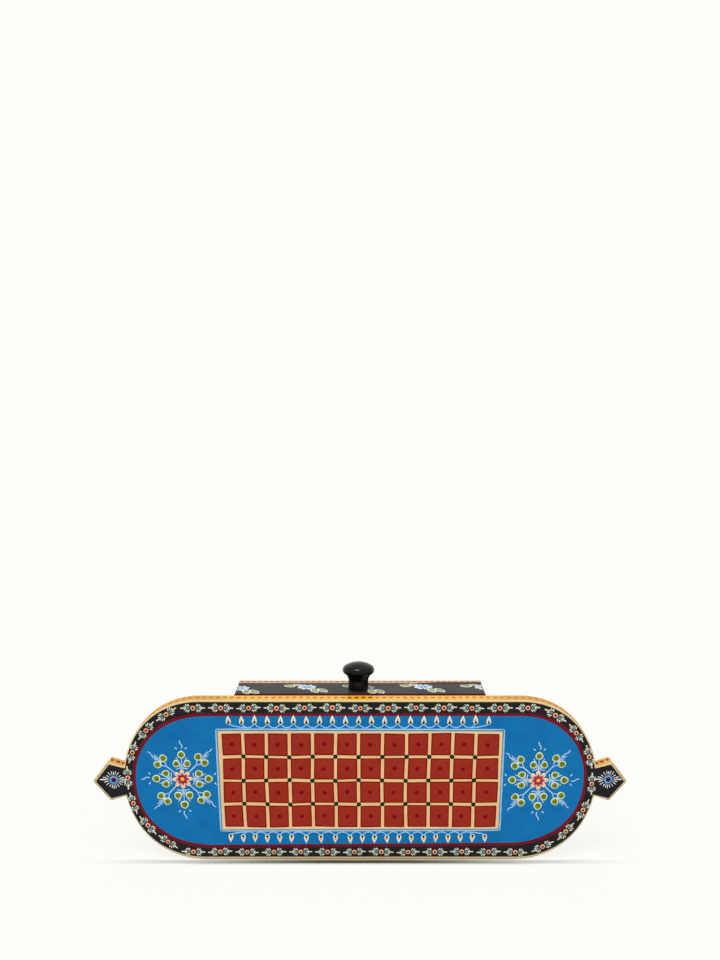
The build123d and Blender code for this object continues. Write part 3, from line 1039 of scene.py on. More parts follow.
@dataclass
class BoardFace:
    """The painted face of the board: grounds, grid and every motif, laid in coats."""

    # The outline, how far below the top the painting has its middle, and the cream rim left round it.
    shape: BoardShape = BoardShape()
    paint_drop: float = 65.0
    cream_least: float = 1.05
    cream_more_above: float = 0.6
    cream_more_below: float = 1.2
    cream_more_tips: float = 0.75
    black_rounding: float = 0.5

    # Heights of the coats over the bare board.
    coat_black: float = 0.08
    coat_red: float = 0.13
    coat_blue: float = 0.18
    coat_frame: float = 0.225
    coat_grid: float = 0.23
    coat_edge: float = 0.29
    coat_square: float = 0.34

    # The blue field, and the red line that runs round it.
    field_left: float = -174.2
    field_right: float = 173.8
    field_top: float = 52.3
    field_bottom: float = -53.5
    field_rise: float = 1.8
    field_rise_from: float = 20.0
    field_rise_run: float = 90.0
    field_ends: tuple[float, float, float, float] = (58.0, 52.0, 58.0, 58.0)
    field_fullness: float = 0.93
    field_wander: float = 0.15
    line_end: float = 2.4
    line_top: float = 2.1
    line_bottom: float = 2.6

    # The grid: its squares, its ruled lines, and the panel that it lies on.
    columns: int = 12
    rows: int = 4
    upright_line: float = 2.4
    level_line: float = 2.1
    line_wander: float = 0.4
    cell_wander: float = 0.22
    grid_corners: tuple[tuple[float, float], ...] = (
        (-111.0, 42.4), (111.3, 42.0), (110.9, -41.8), (-110.3, -42.4)
    )
    pale_line_depth: float = 0.6
    pale_line_width: float = 1.25
    slate_depth: float = 1.1
    panel_depth: float = 1.8
    frame_depth: float = 3.6
    square_edge: float = 0.8
    square_roundness: float = 0.06
    panel_roundness: float = 0.004

    # Flames along the grid with their stems, border flowers and daisies.
    flames: int = 21
    stem_width: float = 0.9
    stem_foot: float = 1.0
    stem_dip: float = 0.6
    sweep_reaches: tuple[float, float] = (4.5, 17.0)
    sweep_drops: tuple[float, float] = (0.1, 0.3)
    run_flowers: int = 13
    end_flowers: int = 7
    flower_bend: float = 116.0
    daisy_rays: int = 20

    # Dashes across the plank's edge, and the tan line on each tip.
    dash_pitch: float = 5.3
    dash_size: tuple[float, float] = (3.5, 5.6)
    dash_end_gap: float = 2.0
    tip_dashes: tuple[float, ...] = (184.6, 188.6, 193.2)
    tip_dash_size: tuple[float, float] = (3.6, 5.0)
    tip_line_depth: float = 0.75
    tip_line_width: float = 0.4

    def __post_init__(self) -> None:
        """Finds the grounds and the grid's lines, ruled by eye: the right half a little wider."""
        flat = ((1.0, 0.0, 0.0), (0.0, 0.0, 1.0))
        self.half = float(board_high[2] - board_low[2]) / 2
        self.whole = Plane((0.0, float(board_low[1]), self.half), *flat)
        self.ground = Plane((0.0, float(board_low[1]), float(board_high[2]) - self.paint_drop), *flat)
        ruled, places = (0, 1, 6, 8, 11, 12), (-107.4, -90.3, -1.0, 35.7, 88.8, 108.3)
        self.line_u = np.interp(np.arange(self.columns + 1), ruled, places)
        self.line_v = np.array([39.6, 19.6, 0.35, -19.2, -39.5])

    def keep(self, name: str, shell: Shell, pigment: Pigment) -> None:
        """Makes one painted piece on the board."""
        make_piece(name, shell, pigment.material(), "case")

    def stroke(self, name: str, strokes: Array, brush: Brush, pigment: Pigment, level: float,
               relief: float = 0.16, steps: int = 5) -> None:
        """Makes one batch of brush strokes on the face."""
        self.keep(name, painted(self.ground, strokes, brush, level, relief, steps), pigment)

    def field_edge(self, left: float, right: float, level: float, left_end: float,
                   right_end: float) -> Array:
        """One long edge of an oval field, from its left end to its right end.

        Each end is a fuller ellipse: u = corner -/+ end * cos(turn)^fullness, v = level *
        sin(turn)^fullness. The lower edge climbs a little to the right, by a soft step.

        Args:
            left: Where it starts.
            right: Where it ends.
            level: Its height between the two ends.
            left_end: Length of the left end's curve.
            right_end: Length of the right end's curve.

        Returns:
            Places along the edge.
        """
        turn = np.linspace(RUN_CLEARANCE, np.pi / 2, OVAL_STEPS)
        out, up = np.cos(turn) ** self.field_fullness, np.sin(turn) ** self.field_fullness
        u = np.concatenate([left + left_end - left_end * out, (right - right_end + right_end * out)[::-1]])
        climb = np.clip((u - self.field_rise_from) / self.field_rise_run, 0, 1)
        climb = self.field_rise * climb**2 * (3 - 2 * climb) * (level < 0)
        v = (level + climb) * np.concatenate([up, up[::-1]])
        return np.stack([u, v + waver(u, level, self.field_wander)], -1)

    def paint_grounds(self) -> None:
        """Black band up to the cream rim, the red line and the blue field, each over the last.

        The cream rim's width is the least width plus a share that grows with height to the power 4.
        """
        corners = self.shape.corners()
        height = np.clip(corners[:, 1] / self.shape.half_height, -1, 1)
        more = np.where(height > 0, self.cream_more_above, self.cream_more_below)
        tips = self.cream_more_tips * (np.abs(corners[:, 0]) > self.shape.end_centre + self.shape.end_radius)
        rim = self.cream_least + more * height**4 + tips
        black = Outline(inset(corners, rim), self.black_rounding)
        band = coat(self.whole, *black.halves(BAND_STEPS), COAT_FOOT, self.coat_black)
        self.keep("black_band", band, Pigment.BLACK)
        red = (self.line_end, self.line_top, self.line_bottom)
        for name, (end, top, bottom), pigment, under, over in (
            ("red_line", red, Pigment.RED_LINE, 0.0, self.coat_red),
            ("blue_field", (0.0, 0.0, 0.0), Pigment.BLUE, 0.04, self.coat_blue),
        ):
            left, right = self.field_left - end, self.field_right + end
            upper = self.field_edge(left, right, self.field_top + top, *self.field_ends[:2])
            lower = self.field_edge(left, right, self.field_bottom - bottom, *self.field_ends[2:])
            self.keep(name, coat(self.ground, upper, lower, under, over), pigment)

    def patch(self, name: str, corners: Array, pigment: Pigment, level: float, relief: float,
              roundness: float) -> None:
        """Makes one batch of four-cornered patches on the face."""
        self.keep(name, patches(self.ground, corners, level, relief, roundness), pigment)

    def paint_panel(self) -> None:
        """Slate shadow line, cream panel with its paler frame, and the pale outline round them."""
        outer = np.array(self.grid_corners)
        slate = inset(outer, self.slate_depth)[None, ::-1]
        self.patch("grid_shadow_line", slate, Pigment.SLATE, self.coat_blue, 0.03, 0.01)
        outline, within = inset(outer, self.panel_depth), inset(outer, self.frame_depth)
        panel, sharp = outline[None, ::-1], self.panel_roundness
        self.patch("grid_panel", panel, Pigment.CREAM, self.coat_blue, 0.05, sharp)
        frame = [[within[i - 1], within[i], outline[i], outline[i - 1]] for i in range(4)]
        self.patch("grid_frame", np.array(frame), Pigment.FRAME, self.coat_frame, 0.02, sharp)
        ends = inset(outer, self.pale_line_depth)
        bows = (0.2, -0.15, 0.2, 0.15)
        sides = [dab(*ends[i], *ends[(i + 1) % 4], self.pale_line_width, bow) for i, bow in enumerate(bows)]
        self.stroke("grid_pale_line", np.array(sides), Brush.LINE, Pigment.PALE_LINE, self.coat_blue,
                    0.12, 40)

    def paint_squares(self) -> None:
        """Red squares with dark edges and a spot each, and a ringed spot at every crossing."""
        cells, soft = self.cell_corners(0.0), self.square_roundness
        self.patch("square_edges", cells, Pigment.SQUARE_EDGE, self.coat_grid, 0.05, soft)
        inner = self.cell_corners(self.square_edge)
        self.patch("squares", inner, Pigment.SQUARE, self.coat_edge, 0.05, soft)
        middles = cells.mean(1)
        number = np.arange(len(middles))
        off = [by_hand(number, 0.25, 5.0), by_hand(number, 0.25, 3.0, math.pi / 2)]
        spots = placed([dab(-1.7, 0, 1.7, 0, 3.3)], middles + np.stack(off, -1), number)
        self.stroke("square_spots", spots, Brush.ROUND, Pigment.SPOT, self.coat_square, 0.04)
        u, v = (axis.ravel() for axis in np.meshgrid(self.line_u[1:-1], self.line_v[1:-1]))
        knots = np.stack([u + waver(v, u, self.line_wander), v + waver(u, v, self.line_wander)], -1)
        number = np.arange(len(knots))
        for name, knot, pigment, lift, relief in (
            ("crossing_rings", dab(-1.85, 0, 1.85, 0, 3.6), Pigment.DARK_GREEN, 0.0, 0.14),
            ("crossing_spots", dab(-0.8, 0, 0.8, 0, 1.5), Pigment.GREEN, 0.13, 0.07),
        ):
            strokes = placed([knot], knots, number)
            self.stroke(name, strokes, Brush.ROUND, pigment, self.coat_grid + lift, relief)

    def cell_corners(self, margin: float) -> Array:
        """Corners of all squares between the wavering ruled lines, drawn in by a margin.

        Args:
            margin: How far each side moves inwards.

        Returns:
            Squares by four corners by two.
        """
        wide, high = self.upright_line / 2 + margin, self.level_line / 2 + margin
        column, row = (axis.ravel() for axis in np.meshgrid(np.arange(self.columns), np.arange(self.rows)))
        corners = []
        for right, below in ((0, 1), (1, 1), (1, 0), (0, 0)):
            u, v = self.line_u[column + right], self.line_v[row + below]
            u = u + waver(v, u, self.line_wander)
            u = u + by_hand(column, self.cell_wander, 7.0, 3.0 * row + right)
            v = v + waver(u, v, self.line_wander)
            v = v + by_hand(column, self.cell_wander, 5.0, 4.0 * row + below)
            corners.append(np.stack([u + wide * (1 - 2 * right), v + high * (2 * below - 1)], -1))
        return np.stack(corners, 1)

    def flame_row(self, name: str, u: Array, base: Array, way: float, line: float) -> None:
        """A row of flames on looped stems, pointing away from the grid.

        A stem loops from foot to foot. Its pull is the foot mirrored in the line and a dip more, so
        that its middle lies at the line. Two sweeps run out from the ends of the row.

        Args:
            name: Name of the row.
            u: Places of the flames.
            base: Heights of their dark spots.
            way: 1 where they point up, -1 where they point down.
            line: Height of the grid's pale line, where the stems gather.
        """
        number = np.arange(len(u))
        centres = np.stack([u, base + by_hand(number, 0.25, 4.0)], -1)
        lean = way * math.pi / 2 + by_hand(number, 0.07, 2.3, way)
        size = 1 + by_hand(number, 0.04, 3.1)
        level = self.coat_blue
        for part, strokes, brush, pigment, lift, relief in (
            ("_flames", [dab(-1.5, 0, 5.9, 0, 3.9)], Brush.FLAME, Pigment.FLAME, 0.0, 0.16),
            ("_flame_cores", [dab(0.0, 0, 3.0, 0, 1.35)], Brush.DROP, Pigment.ORANGE, 0.13, 0.07),
            ("_flame_spots", [dab(-0.95, 0, 0.95, 0, 1.9)], Brush.ROUND, Pigment.INK, 0.19, 0.05),
        ):
            strokes = placed(strokes, centres, lean, size)
            self.stroke(name + part, strokes, brush, pigment, level + lift, relief, 6)
        foot = centres[:, 1] - way * self.stem_foot
        dip = 2 * line - foot - way * self.stem_dip
        width = self.stem_width
        loops = [
            [u[i], foot[i], (u[i] + u[i + 1]) / 2, dip[i], u[i + 1], foot[i + 1], width]
            for i in range(1, len(u) - 2)
        ]
        near, low = (line - way * drop for drop in self.sweep_drops)
        pull, reach = self.sweep_reaches
        sweep = [
            [u[end], foot[end], u[end] + pull * side, near, u[end] + reach * side, low, width]
            for end, side in ((0, 1), (-1, -1))
        ]
        self.stroke(name + "_stems", np.array(loops + sweep), Brush.LINE, Pigment.STEM, level, 0.12, 9)

    def paint_flames(self) -> None:
        """Twenty-one flames above the grid and twenty-one below, spaced as given."""
        step = np.arange(self.flames)
        last = self.flames - 1
        above = np.interp(step, (0, last), (-100.6, 98.4))
        self.flame_row("upper", above, np.full(self.flames, 47.2), 1.0, 43.2)
        below = np.interp(step, (0, 5, 9, last), (-102.0, -54.0, -7.8, 98.6))
        self.flame_row("lower", below, -46.6 + 0.9 * (below / 100) ** 2, -1.0, -42.9)

    def border_places(self) -> tuple[Array, Array]:
        """Places and directions of the forty border flowers.

        Straight runs are evenly spaced; the ends follow a polar curve whose radius grows a little
        towards the tips.

        Returns:
            Their places and their directions.
        """
        runs = [
            (np.linspace(-127.3, 127.8, self.run_flowers), 58.6, 0.0),
            (np.linspace(-132.3, 123.5, self.run_flowers), -59.8, math.pi),
        ]
        places = [np.stack([u, v + waver(u, v, 0.3)], -1) for u, v, _ in runs]
        angles = [np.full(len(u), turn) for u, _, turn in runs]
        for side, first, last in ((-1, 59.3, -54.9), (1, 57.9, -62.4)):
            turn = np.radians(np.linspace(first, last, self.end_flowers))
            reach = 62.2 + 2.3 * np.cos(turn) ** 4
            u = side * (self.flower_bend + reach * np.cos(turn))
            places.append(np.stack([u, reach * np.sin(turn)], -1))
            angles.append(side * (turn - math.pi / 2))
        return np.vstack(places), np.concatenate(angles)

    def paint_border(self) -> None:
        """Border flowers: a coral ring between two sprays of pale petals, each with a long dash."""
        centres, angles = self.border_places()
        number = np.arange(len(centres))
        angles = angles + by_hand(number, 0.05, 3.7)
        size = 1 + by_hand(number, 0.04, 2.9)
        level = self.coat_black
        petals = both_sides([
            dab(2.3, 1.3, 4.0, 3.5, 1.05, -0.4),
            dab(3.8, 1.4, 5.8, 3.1, 1.0, -0.3),
            dab(4.9, 0.7, 6.9, 1.5, 0.85, -0.2),
        ])
        hearts = [dab(2.6, 0, 5.2, 0, 1.75)]
        dashes = [dab(5.2, 0, 9.6, 0, 1.05, 0.25)]
        for name, strokes, brush, pigment, lift, relief in (
            ("border_ring_shadows", [dab(-2.2, -0.3, 2.2, -0.3, 4.3)], Brush.ROUND, Pigment.RUST, 0.0, 0.05),
            ("border_petals", petals + turned_over(petals), Brush.LEAF, Pigment.PALE_PETAL, 0.01, 0.14),
            ("border_dashes", dashes + turned_over(dashes), Brush.LINE, Pigment.DASH, 0.03, 0.13),
            ("border_hearts", hearts + turned_over(hearts), Brush.BUD, Pigment.SKY, 0.08, 0.1),
            ("border_rings", [dab(-1.9, 0, 1.9, 0, 3.7)], Brush.ROUND, Pigment.CORAL, 0.05, 0.14),
            ("border_eyes", [dab(-0.9, 0, 0.9, 0, 1.75)], Brush.ROUND, Pigment.INK, 0.18, 0.05),
        ):
            self.stroke(name, placed(strokes, centres, angles, size), brush, pigment, level + lift, relief)

    def rosette_middle(self, rosette: Rosette) -> None:
        """Eight petals with rose hearts round a yellow eye, on a rust ground.

        Args:
            rosette: Which rosette.
        """
        eighths = np.arange(8) * math.pi / 4 + 0.04
        for part, motif, turns, brush, pigment, lift, relief in (
            ("_ground", dab(-3.4, 0, 3.4, 0, 6.8), eighths, Brush.ROUND, Pigment.RUST, 0.0, 0.05),
            ("_petals", dab(7.9, 0, 1.6, 0, 3.5), eighths, Brush.DROP, Pigment.PEACH, 0.03, 0.16),
            ("_hearts", dab(1.0, 0, 5.3, 0, 2.0), eighths, Brush.LEAF, Pigment.ROSE, 0.15, 0.1),
            ("_eye", dab(-1.5, 0, 1.5, 0, 2.9), np.zeros(1), Brush.ROUND, Pigment.YELLOW, 0.22, 0.1),
        ):
            strokes = fan([motif], rosette.centre, turns)
            self.stroke(rosette.name + part, strokes, brush, pigment, self.coat_blue + lift, relief)

    def rosette_leaves(self, rosette: Rosette) -> None:
        """Stems and leaves of all arms; a leaf is a pale edge, a green core and a dark point.

        Args:
            rosette: Which rosette.
        """
        leaves = [dab(16.8, 0, 23.2, 0, 6.2)] + both_sides([dab(9.7, 3.4, 15.8, 5.0, 5.8)])
        cores = [dab(17.7, 0, 22.3, 0, 4.6)] + both_sides([dab(10.6, 3.8, 14.9, 4.8, 4.3)])
        points = [dab(18.8, 0.4, 20.4, 0.4, 1.5)] + both_sides([dab(11.8, 4.1, 13.2, 4.4, 1.3)])
        pair = both_sides([dab(19.0, 2.3, 25.1, 4.5, 6.0)])
        pair_cores = both_sides([dab(19.9, 2.7, 24.3, 4.3, 4.5)])
        pair_points = both_sides([dab(21.4, 2.9, 22.8, 3.4, 1.3)])
        stems = [dab(7.4, 0, 17.2, 0, 0.6)]
        stems += both_sides([dab(9.4, 0.3, 18.0, 4.4, 0.65, -0.5), dab(9.2, 0.6, 8.3, 5.0, 0.65, 0.6),
                             dab(7.8, 0.3, 10.6, 2.4, 0.55, -0.3)])
        branches = [dab(7.4, 0, 16.2, 0, 0.85), dab(20.4, 0, 28.0, 0.2, 0.6)]
        branches += both_sides([dab(15.7, 0.1, 20.0, 2.6, 0.65, -0.2)])
        branches += [dab(27.6, 0.2, 30.8, 0.4, 0.65, 0.8), dab(30.4, 0.3, 34.2, 0.4, 0.65, -1.0)]
        for part, first, second, brush, pigment, lift, relief in (
            ("_stems", stems, branches, Brush.LINE, Pigment.FROST, 0.0, 0.11),
            ("_leaf_edges", leaves, pair, Brush.BUD, Pigment.LEAF_EDGE, 0.01, 0.14),
            ("_leaves", cores, pair_cores, Brush.BUD, Pigment.LEAF, 0.13, 0.08),
            ("_leaf_points", points, pair_points, Brush.ROUND, Pigment.LEAF_POINT, 0.19, 0.05),
        ):
            strokes = np.vstack([rosette.on_cardinal(first), rosette.on_diagonal(second)])
            self.stroke(rosette.name + part, strokes, brush, pigment, self.coat_blue + lift, relief)

    def rosette_ends(self, rosette: Rosette) -> None:
        """Feathers on the diagonal arms, hooks on the cardinal arms, a tail on the outer three.

        Args:
            rosette: Which rosette.
        """
        hairs = both_sides([dab(20.2 + 1.7 * k, 0.2, 23.4 + 1.5 * k, 2.8 - 0.3 * k, 0.48, -0.3)
                            for k in range(rosette.feathers)])
        feathers = rosette.on_diagonal(hairs)
        self.stroke(rosette.name + "_feathers", feathers, Brush.LEAF, Pigment.FROST, self.coat_blue, 0.1)
        hooks = both_sides([dab(24.2, 3.2, 25.5, 4.8, 0.8, -0.5)])
        tail = [dab(24.8, -0.3, 28.2, -0.6, 0.7, -1.0), dab(27.9, -0.7, 31.4, 0.7, 0.75, 1.2)]
        tails = np.vstack([rosette.on_cardinal(hooks), rosette.on_cardinal(tail, outer=True)])
        self.stroke(rosette.name + "_tails", tails, Brush.LINE, Pigment.FROST, self.coat_blue, 0.11, 7)

    def paint_rosettes(self) -> None:
        """A rosette at either end of the field."""
        for name, centre, inner_arm in (
            ("left_rosette", (-137.9, 1.5), 0),
            ("right_rosette", (138.6, 0.4), 2),
        ):
            rosette = Rosette(name, centre, inner_arm)
            self.rosette_middle(rosette)
            self.rosette_leaves(rosette)
            self.rosette_ends(rosette)

    def paint_daisies(self) -> None:
        """A daisy on each arrow tip, its rays longer and wider along the board, by |cos turn|^40."""
        centres = np.array([[-191.4, 0.8], [192.9, 1.2]])
        number = np.arange(self.daisy_rays)
        turn = (number + by_hand(number, 0.22, 5.0)) / self.daisy_rays * 2 * np.pi
        cosine, sine = np.cos(turn), np.sin(turn)
        level_ray = np.abs(cosine) ** 40
        reach = 7.2 + 3.7 * level_ray + by_hand(turn, 0.5, 7.0)
        middle = 0.6 * reach + 1.5
        columns = [reach * cosine, reach * sine, middle * cosine, middle * sine, 3.5 * cosine, 3.5 * sine]
        rays = np.stack(columns + [0.74 + 0.4 * level_ray], -1)
        level = self.coat_black
        self.stroke("daisy_rays", placed(rays, centres, 0.0), Brush.DROP, Pigment.DAISY_RAY, level, 0.13)
        for name, radius, pigment, lift in (
            ("daisy_rings", 3.35, Pigment.DAISY_RING, 0.0),
            ("daisy_shades", 2.0, Pigment.DAISY_SHADE, 0.1),
            ("daisy_eyes", 1.55, Pigment.MAROON, 0.14),
            ("daisy_spots", 0.9, Pigment.INK, 0.19),
        ):
            disc = [dab(-radius, 0, radius, 0, 2 * radius)]
            self.stroke(name, placed(disc, centres, 0.0), Brush.ROUND, pigment, level + lift, 0.09, 9)

    def paint_edge(self) -> None:
        """Dashes across the plank's edge, and a thin tan line along the cream rim of each tip."""
        rim = Rim(Outline(self.shape.corners(), self.shape.softness),
                  float(board_low[1] + board_high[1]) / 2, self.half)
        # The dashes are darkest in the middle 11 mm: a painted reflection of the black knob, where the edge
        # shows no sheen.
        paints = ((0.0, (112, 66, 2)), (11.0, (184, 118, 42)), (178.0, (128, 50, 10)))
        until = self.shape.end_centre + self.shape.end_radius - self.dash_end_gap
        u = evenly(rim, self.dash_pitch, until)
        tips = rim.outline.over([side * x for side in (-1, 1) for x in self.tip_dashes])
        dashes = joined([edge_dashes(rim, u, *self.dash_size), edge_dashes(rim, tips, *self.tip_dash_size)])
        make_piece("edge_dashes", dashes, EdgeDash("edge_dash", paints).build(), "case")
        corners = inset(self.shape.corners(), self.tip_line_depth)
        order = np.argsort(corners[:, 0])
        tips = []
        for side in (order[:3], order[-3:]):
            low, apex, high = sorted(side, key=lambda i: corners[i, 1])
            tips += [dab(*corners[a], *corners[apex], self.tip_line_width) for a in (low, high)]
        lines = painted(self.whole, tips, Brush.LINE, 0.0, 0.05, 12)
        self.keep("tip_lines", lines, Pigment.TAN)

    def build(self) -> None:
        """Paints everything, from the ground up."""
        self.paint_grounds()
        self.paint_panel()
        self.paint_squares()
        self.paint_flames()
        self.paint_border()
        self.paint_rosettes()
        self.paint_daisies()
        self.paint_edge()


def dress(names: Iterable[str], material: bpy.types.Material) -> None:
    """Gives nodes of the frame a finish."""
    for name in names:
        for held in frame["nodes"][name].material_slots:
            held.material = material


def nodes_named(start: str) -> list[str]:
    """Nodes whose names start alike."""
    return [name for name in frame["nodes"] if name.startswith(start)]


@dataclass(frozen=True)
class PlankPaint:
    """Paint of a plank that changes across its thickness: front rim, edge and back.

    Where the front ends and where seam and back start are places on Y, and wear starts at a place
    on X, all in millimetres.
    """

    name: str
    front: Rgb
    edges: Stops
    seam: Rgb
    back: Rgb
    line: Rgb
    front_until: float
    seam_from: float
    back_from: float
    worn_from: float = math.inf
    worn_run: float = 24.0
    worn_depth: float = 3.4
    line_width: float = 0.35
    border: float = 0.15
    wander: float = 0.5
    turn: float = 0.25
    mottle: float = 0.8
    cloud: float = 22.0

    def build(self) -> bpy.types.Material:
        """Colour chosen by the distance from the front, with hand-drawn borders.

        The edge's shade turns a little to the seam's colour, and the borders wander with slow noise.

        Returns:
            The material.
        """
        finish = Finish(self.name, SATIN)
        graph = finish.graph
        edge = graph.by_distance(self.edges)
        shade = graph.blend(self.turn, edge, linear(self.seam))
        work = finish.brushwork(edge, shade, self.mottle, self.cloud).outputs
        hand = graph.math("SUBTRACT", graph.noise(finish.place, 60.0, 2.0), 0.5)
        hand = graph.math("MULTIPLY", hand, self.wander * METRES)
        depth = graph.math("ADD", graph.axis(1), hand)
        colour = work["Colour"]
        for start, paint in ((self.seam_from, self.seam), (self.back_from, self.back)):
            share = graph.step(depth, start * METRES, (start + self.border) * METRES)
            colour = graph.blend(share, colour, linear(paint))
        if self.worn_from < math.inf:
            worn_until = self.worn_from + self.worn_run
            worn = graph.step(graph.axis(0), self.worn_from * METRES, worn_until * METRES)
            depth = graph.math("SUBTRACT", depth, graph.math("MULTIPLY", worn, self.worn_depth * METRES))
        line_until = self.front_until + self.line_width
        for stop, paint in ((line_until, self.line), (self.front_until, self.front)):
            share = graph.step(depth, (stop - self.border) * METRES, stop * METRES)
            colour = graph.blend(share, linear(paint), colour)
        return finish.close(colour, work["Height"], work["Uneven"])


# A level that every size on an axis is beyond, so that the paint covers the whole piece.
ALL_OVER = -1.0


@dataclass(frozen=True)
class HalfPainted:
    """Wood that is painted beyond a level on one axis and left raw before it."""

    name: str
    axis: int
    level: float
    paint: Rgb
    shade: Rgb
    light: Rgb = (214, 178, 128)
    dark: Rgb = (178, 136, 88)
    band: float = 4.5
    mottle: float = 0.7
    cloud: float = 18.0
    border: float = 0.05
    raw_dullness: float = 2.0

    def build(self) -> bpy.types.Material:
        """Brushwork over raw wood, divided where the size along the axis passes the level.

        Returns:
            The material.
        """
        finish = Finish(self.name, Surface(0.4, gloss=0.1))
        graph = finish.graph
        work = finish.brushwork(linear(self.paint), linear(self.shade), self.mottle, self.cloud).outputs
        wood = finish.grain(self.light, self.dark, self.band).outputs
        size = graph.math("ABSOLUTE", graph.axis(self.axis))
        low, high = (self.level - self.border) * METRES, (self.level + self.border) * METRES
        share = graph.step(size, low, high)
        colour = graph.blend(share, wood["Colour"], work["Colour"])
        raw = graph.math("SUBTRACT", 1.0, share)
        height = graph.math("ADD", graph.math("MULTIPLY", wood["Height"], raw),
                            graph.math("MULTIPLY", work["Height"], share))
        dull = graph.math("ADD", work["Uneven"], graph.math("MULTIPLY", raw, self.raw_dullness))
        return finish.close(colour, height, dull)


@dataclass(frozen=True)
class Timber:
    """Raw or waxed wood."""

    name: str
    light: Rgb
    dark: Rgb
    band: float = 4.0
    surface: Surface = Surface(0.62, gloss=0.2, relief=0.08)
    dust: Rgb = (226, 202, 164)
    wear: float = 0.4

    def build(self) -> bpy.types.Material:
        """Grain with handling wear over it.

        Returns:
            The material.
        """
        finish = Finish(self.name, self.surface)
        wood = finish.grain(self.light, self.dark, self.band).outputs
        worn = finish.rubbed(wood["Colour"], self.dust, self.wear).outputs
        return finish.close(worn["Colour"], wood["Height"], worn["Dull"])


@dataclass(frozen=True)
class Lacquer:
    """Lac colour burnished on a lathe: deep gloss, faint turning lines round the Z axis."""

    name: str
    colour: Rgb
    dust: Rgb
    wear: float
    surface: Surface
    lines_per_metre: float = 1400.0

    def build(self) -> bpy.types.Material:
        """Turning lines as fine level bands, under handling wear.

        Returns:
            The material.
        """
        finish = Finish(self.name, self.surface)
        lines = finish.graph.noise(finish.graph.place((0.02, 0.02, 1.0)), self.lines_per_metre, 2.0)
        worn = finish.rubbed(linear(self.colour), self.dust, self.wear).outputs
        return finish.close(worn["Colour"], lines, worn["Dull"])


@dataclass(frozen=True)
class Metal:
    """Plain steel of pins, brads, screw and washer."""

    name: str = "plain_steel"
    colour: Rgb = (168, 166, 162)
    dust: Rgb = (104, 92, 80)
    wear: float = 0.8
    grains_per_metre: float = 2600.0

    def build(self) -> bpy.types.Material:
        """Bare metal with dull patches.

        Returns:
            The material.
        """
        finish = Finish(self.name, Surface(0.32, gloss=0.5, metallic=1.0, spread=0.3, relief=0.02))
        worn = finish.rubbed(linear(self.colour), self.dust, self.wear).outputs
        grain = finish.graph.noise(finish.place, self.grains_per_metre)
        return finish.close(worn["Colour"], grain, worn["Dull"])


@dataclass
class Case:
    """Board plank, cheeks, rail, base panel and what holds them together."""

    cheek_paint_depth: float = 0.6
    dark_paint: tuple[Rgb, Rgb] = ((44, 37, 36), (34, 28, 28))
    base_softness: float = 0.3
    dash_pitch: float = 4.8
    dash_size: tuple[float, float] = (2.8, 4.2)
    dash_end_gap: float = 1.5

    def dress_wood(self) -> None:
        """Finishes of the case's own pieces."""
        front, back = float(board_low[1]), float(board_high[1])
        # The edge's paint along X: its saturated yellow in the middle 11 mm is a painted reflection of the
        # black knob, where the edge shows no sheen; from about 104 mm out it is darker.
        amber = (
            (0.0, (228, 170, 24)), (11.0, (236, 186, 80)), (104.0, (208, 160, 78)), (178.0, (216, 170, 88)),
        )
        plank = PlankPaint(
            "board_paint", front=(216, 196, 144), edges=amber, seam=(206, 104, 44), back=(44, 36, 34),
            line=(160, 118, 56), front_until=front + 0.7, seam_from=back - 1.5, back_from=back - 0.6,
        )
        dress(["board_panel"], plank.build())
        inner, outer = float(base_low[1]), float(base_high[1])
        tan = ((0.0, (202, 167, 134)), (90.0, (196, 160, 128)))
        base = PlankPaint(
            "base_paint", front=(58, 38, 30), edges=tan, seam=(150, 70, 44), back=(46, 38, 36),
            line=(110, 62, 44), front_until=inner + 0.3, seam_from=outer - 1.6, back_from=outer - 1.0,
            worn_from=44.0,
        )
        dress(["base_panel"], base.build())
        outside = float(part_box("right_cheek")[1][0]) / METRES
        cheek = HalfPainted("cheek_paint", 0, outside - self.cheek_paint_depth, *self.dark_paint)
        dress(["left_cheek", "right_cheek"], cheek.build())
        rail = HalfPainted("rail_paint", 2, ALL_OVER, *self.dark_paint)
        dress(["back_rail"], rail.build())
        dress(["case_dowels"], Timber("dowel_wood", (216, 184, 136), (190, 152, 104), 1.6).build())
        dress(["base_pins", "drawer_brads", "knob_screw", "knob_washer"], Metal().build())

    def paint_base_edge(self) -> None:
        """Brown dashes round the base panel's edge."""
        half_u, half_v = float(base_high[0]), float(base_high[2] - base_low[2]) / 2
        corners = np.array([[-half_u, half_v], [half_u, half_v], [half_u, -half_v], [-half_u, -half_v]])
        middle_y = float(base_low[1] + base_high[1]) / 2
        rim = Rim(Outline(corners, self.base_softness), middle_y, half_v)
        u = evenly(rim, self.dash_pitch, half_u - self.dash_end_gap)
        shell = edge_dashes(rim, u, *self.dash_size)
        paint = EdgeDash("base_dash", ((0.0, (158, 104, 74)), (90.0, (150, 98, 70))))
        make_piece("base_edge_dashes", shell, paint.build(), "case")

    def build(self) -> None:
        """Dresses the wood and paints the edge."""
        self.dress_wood()
        self.paint_base_edge()


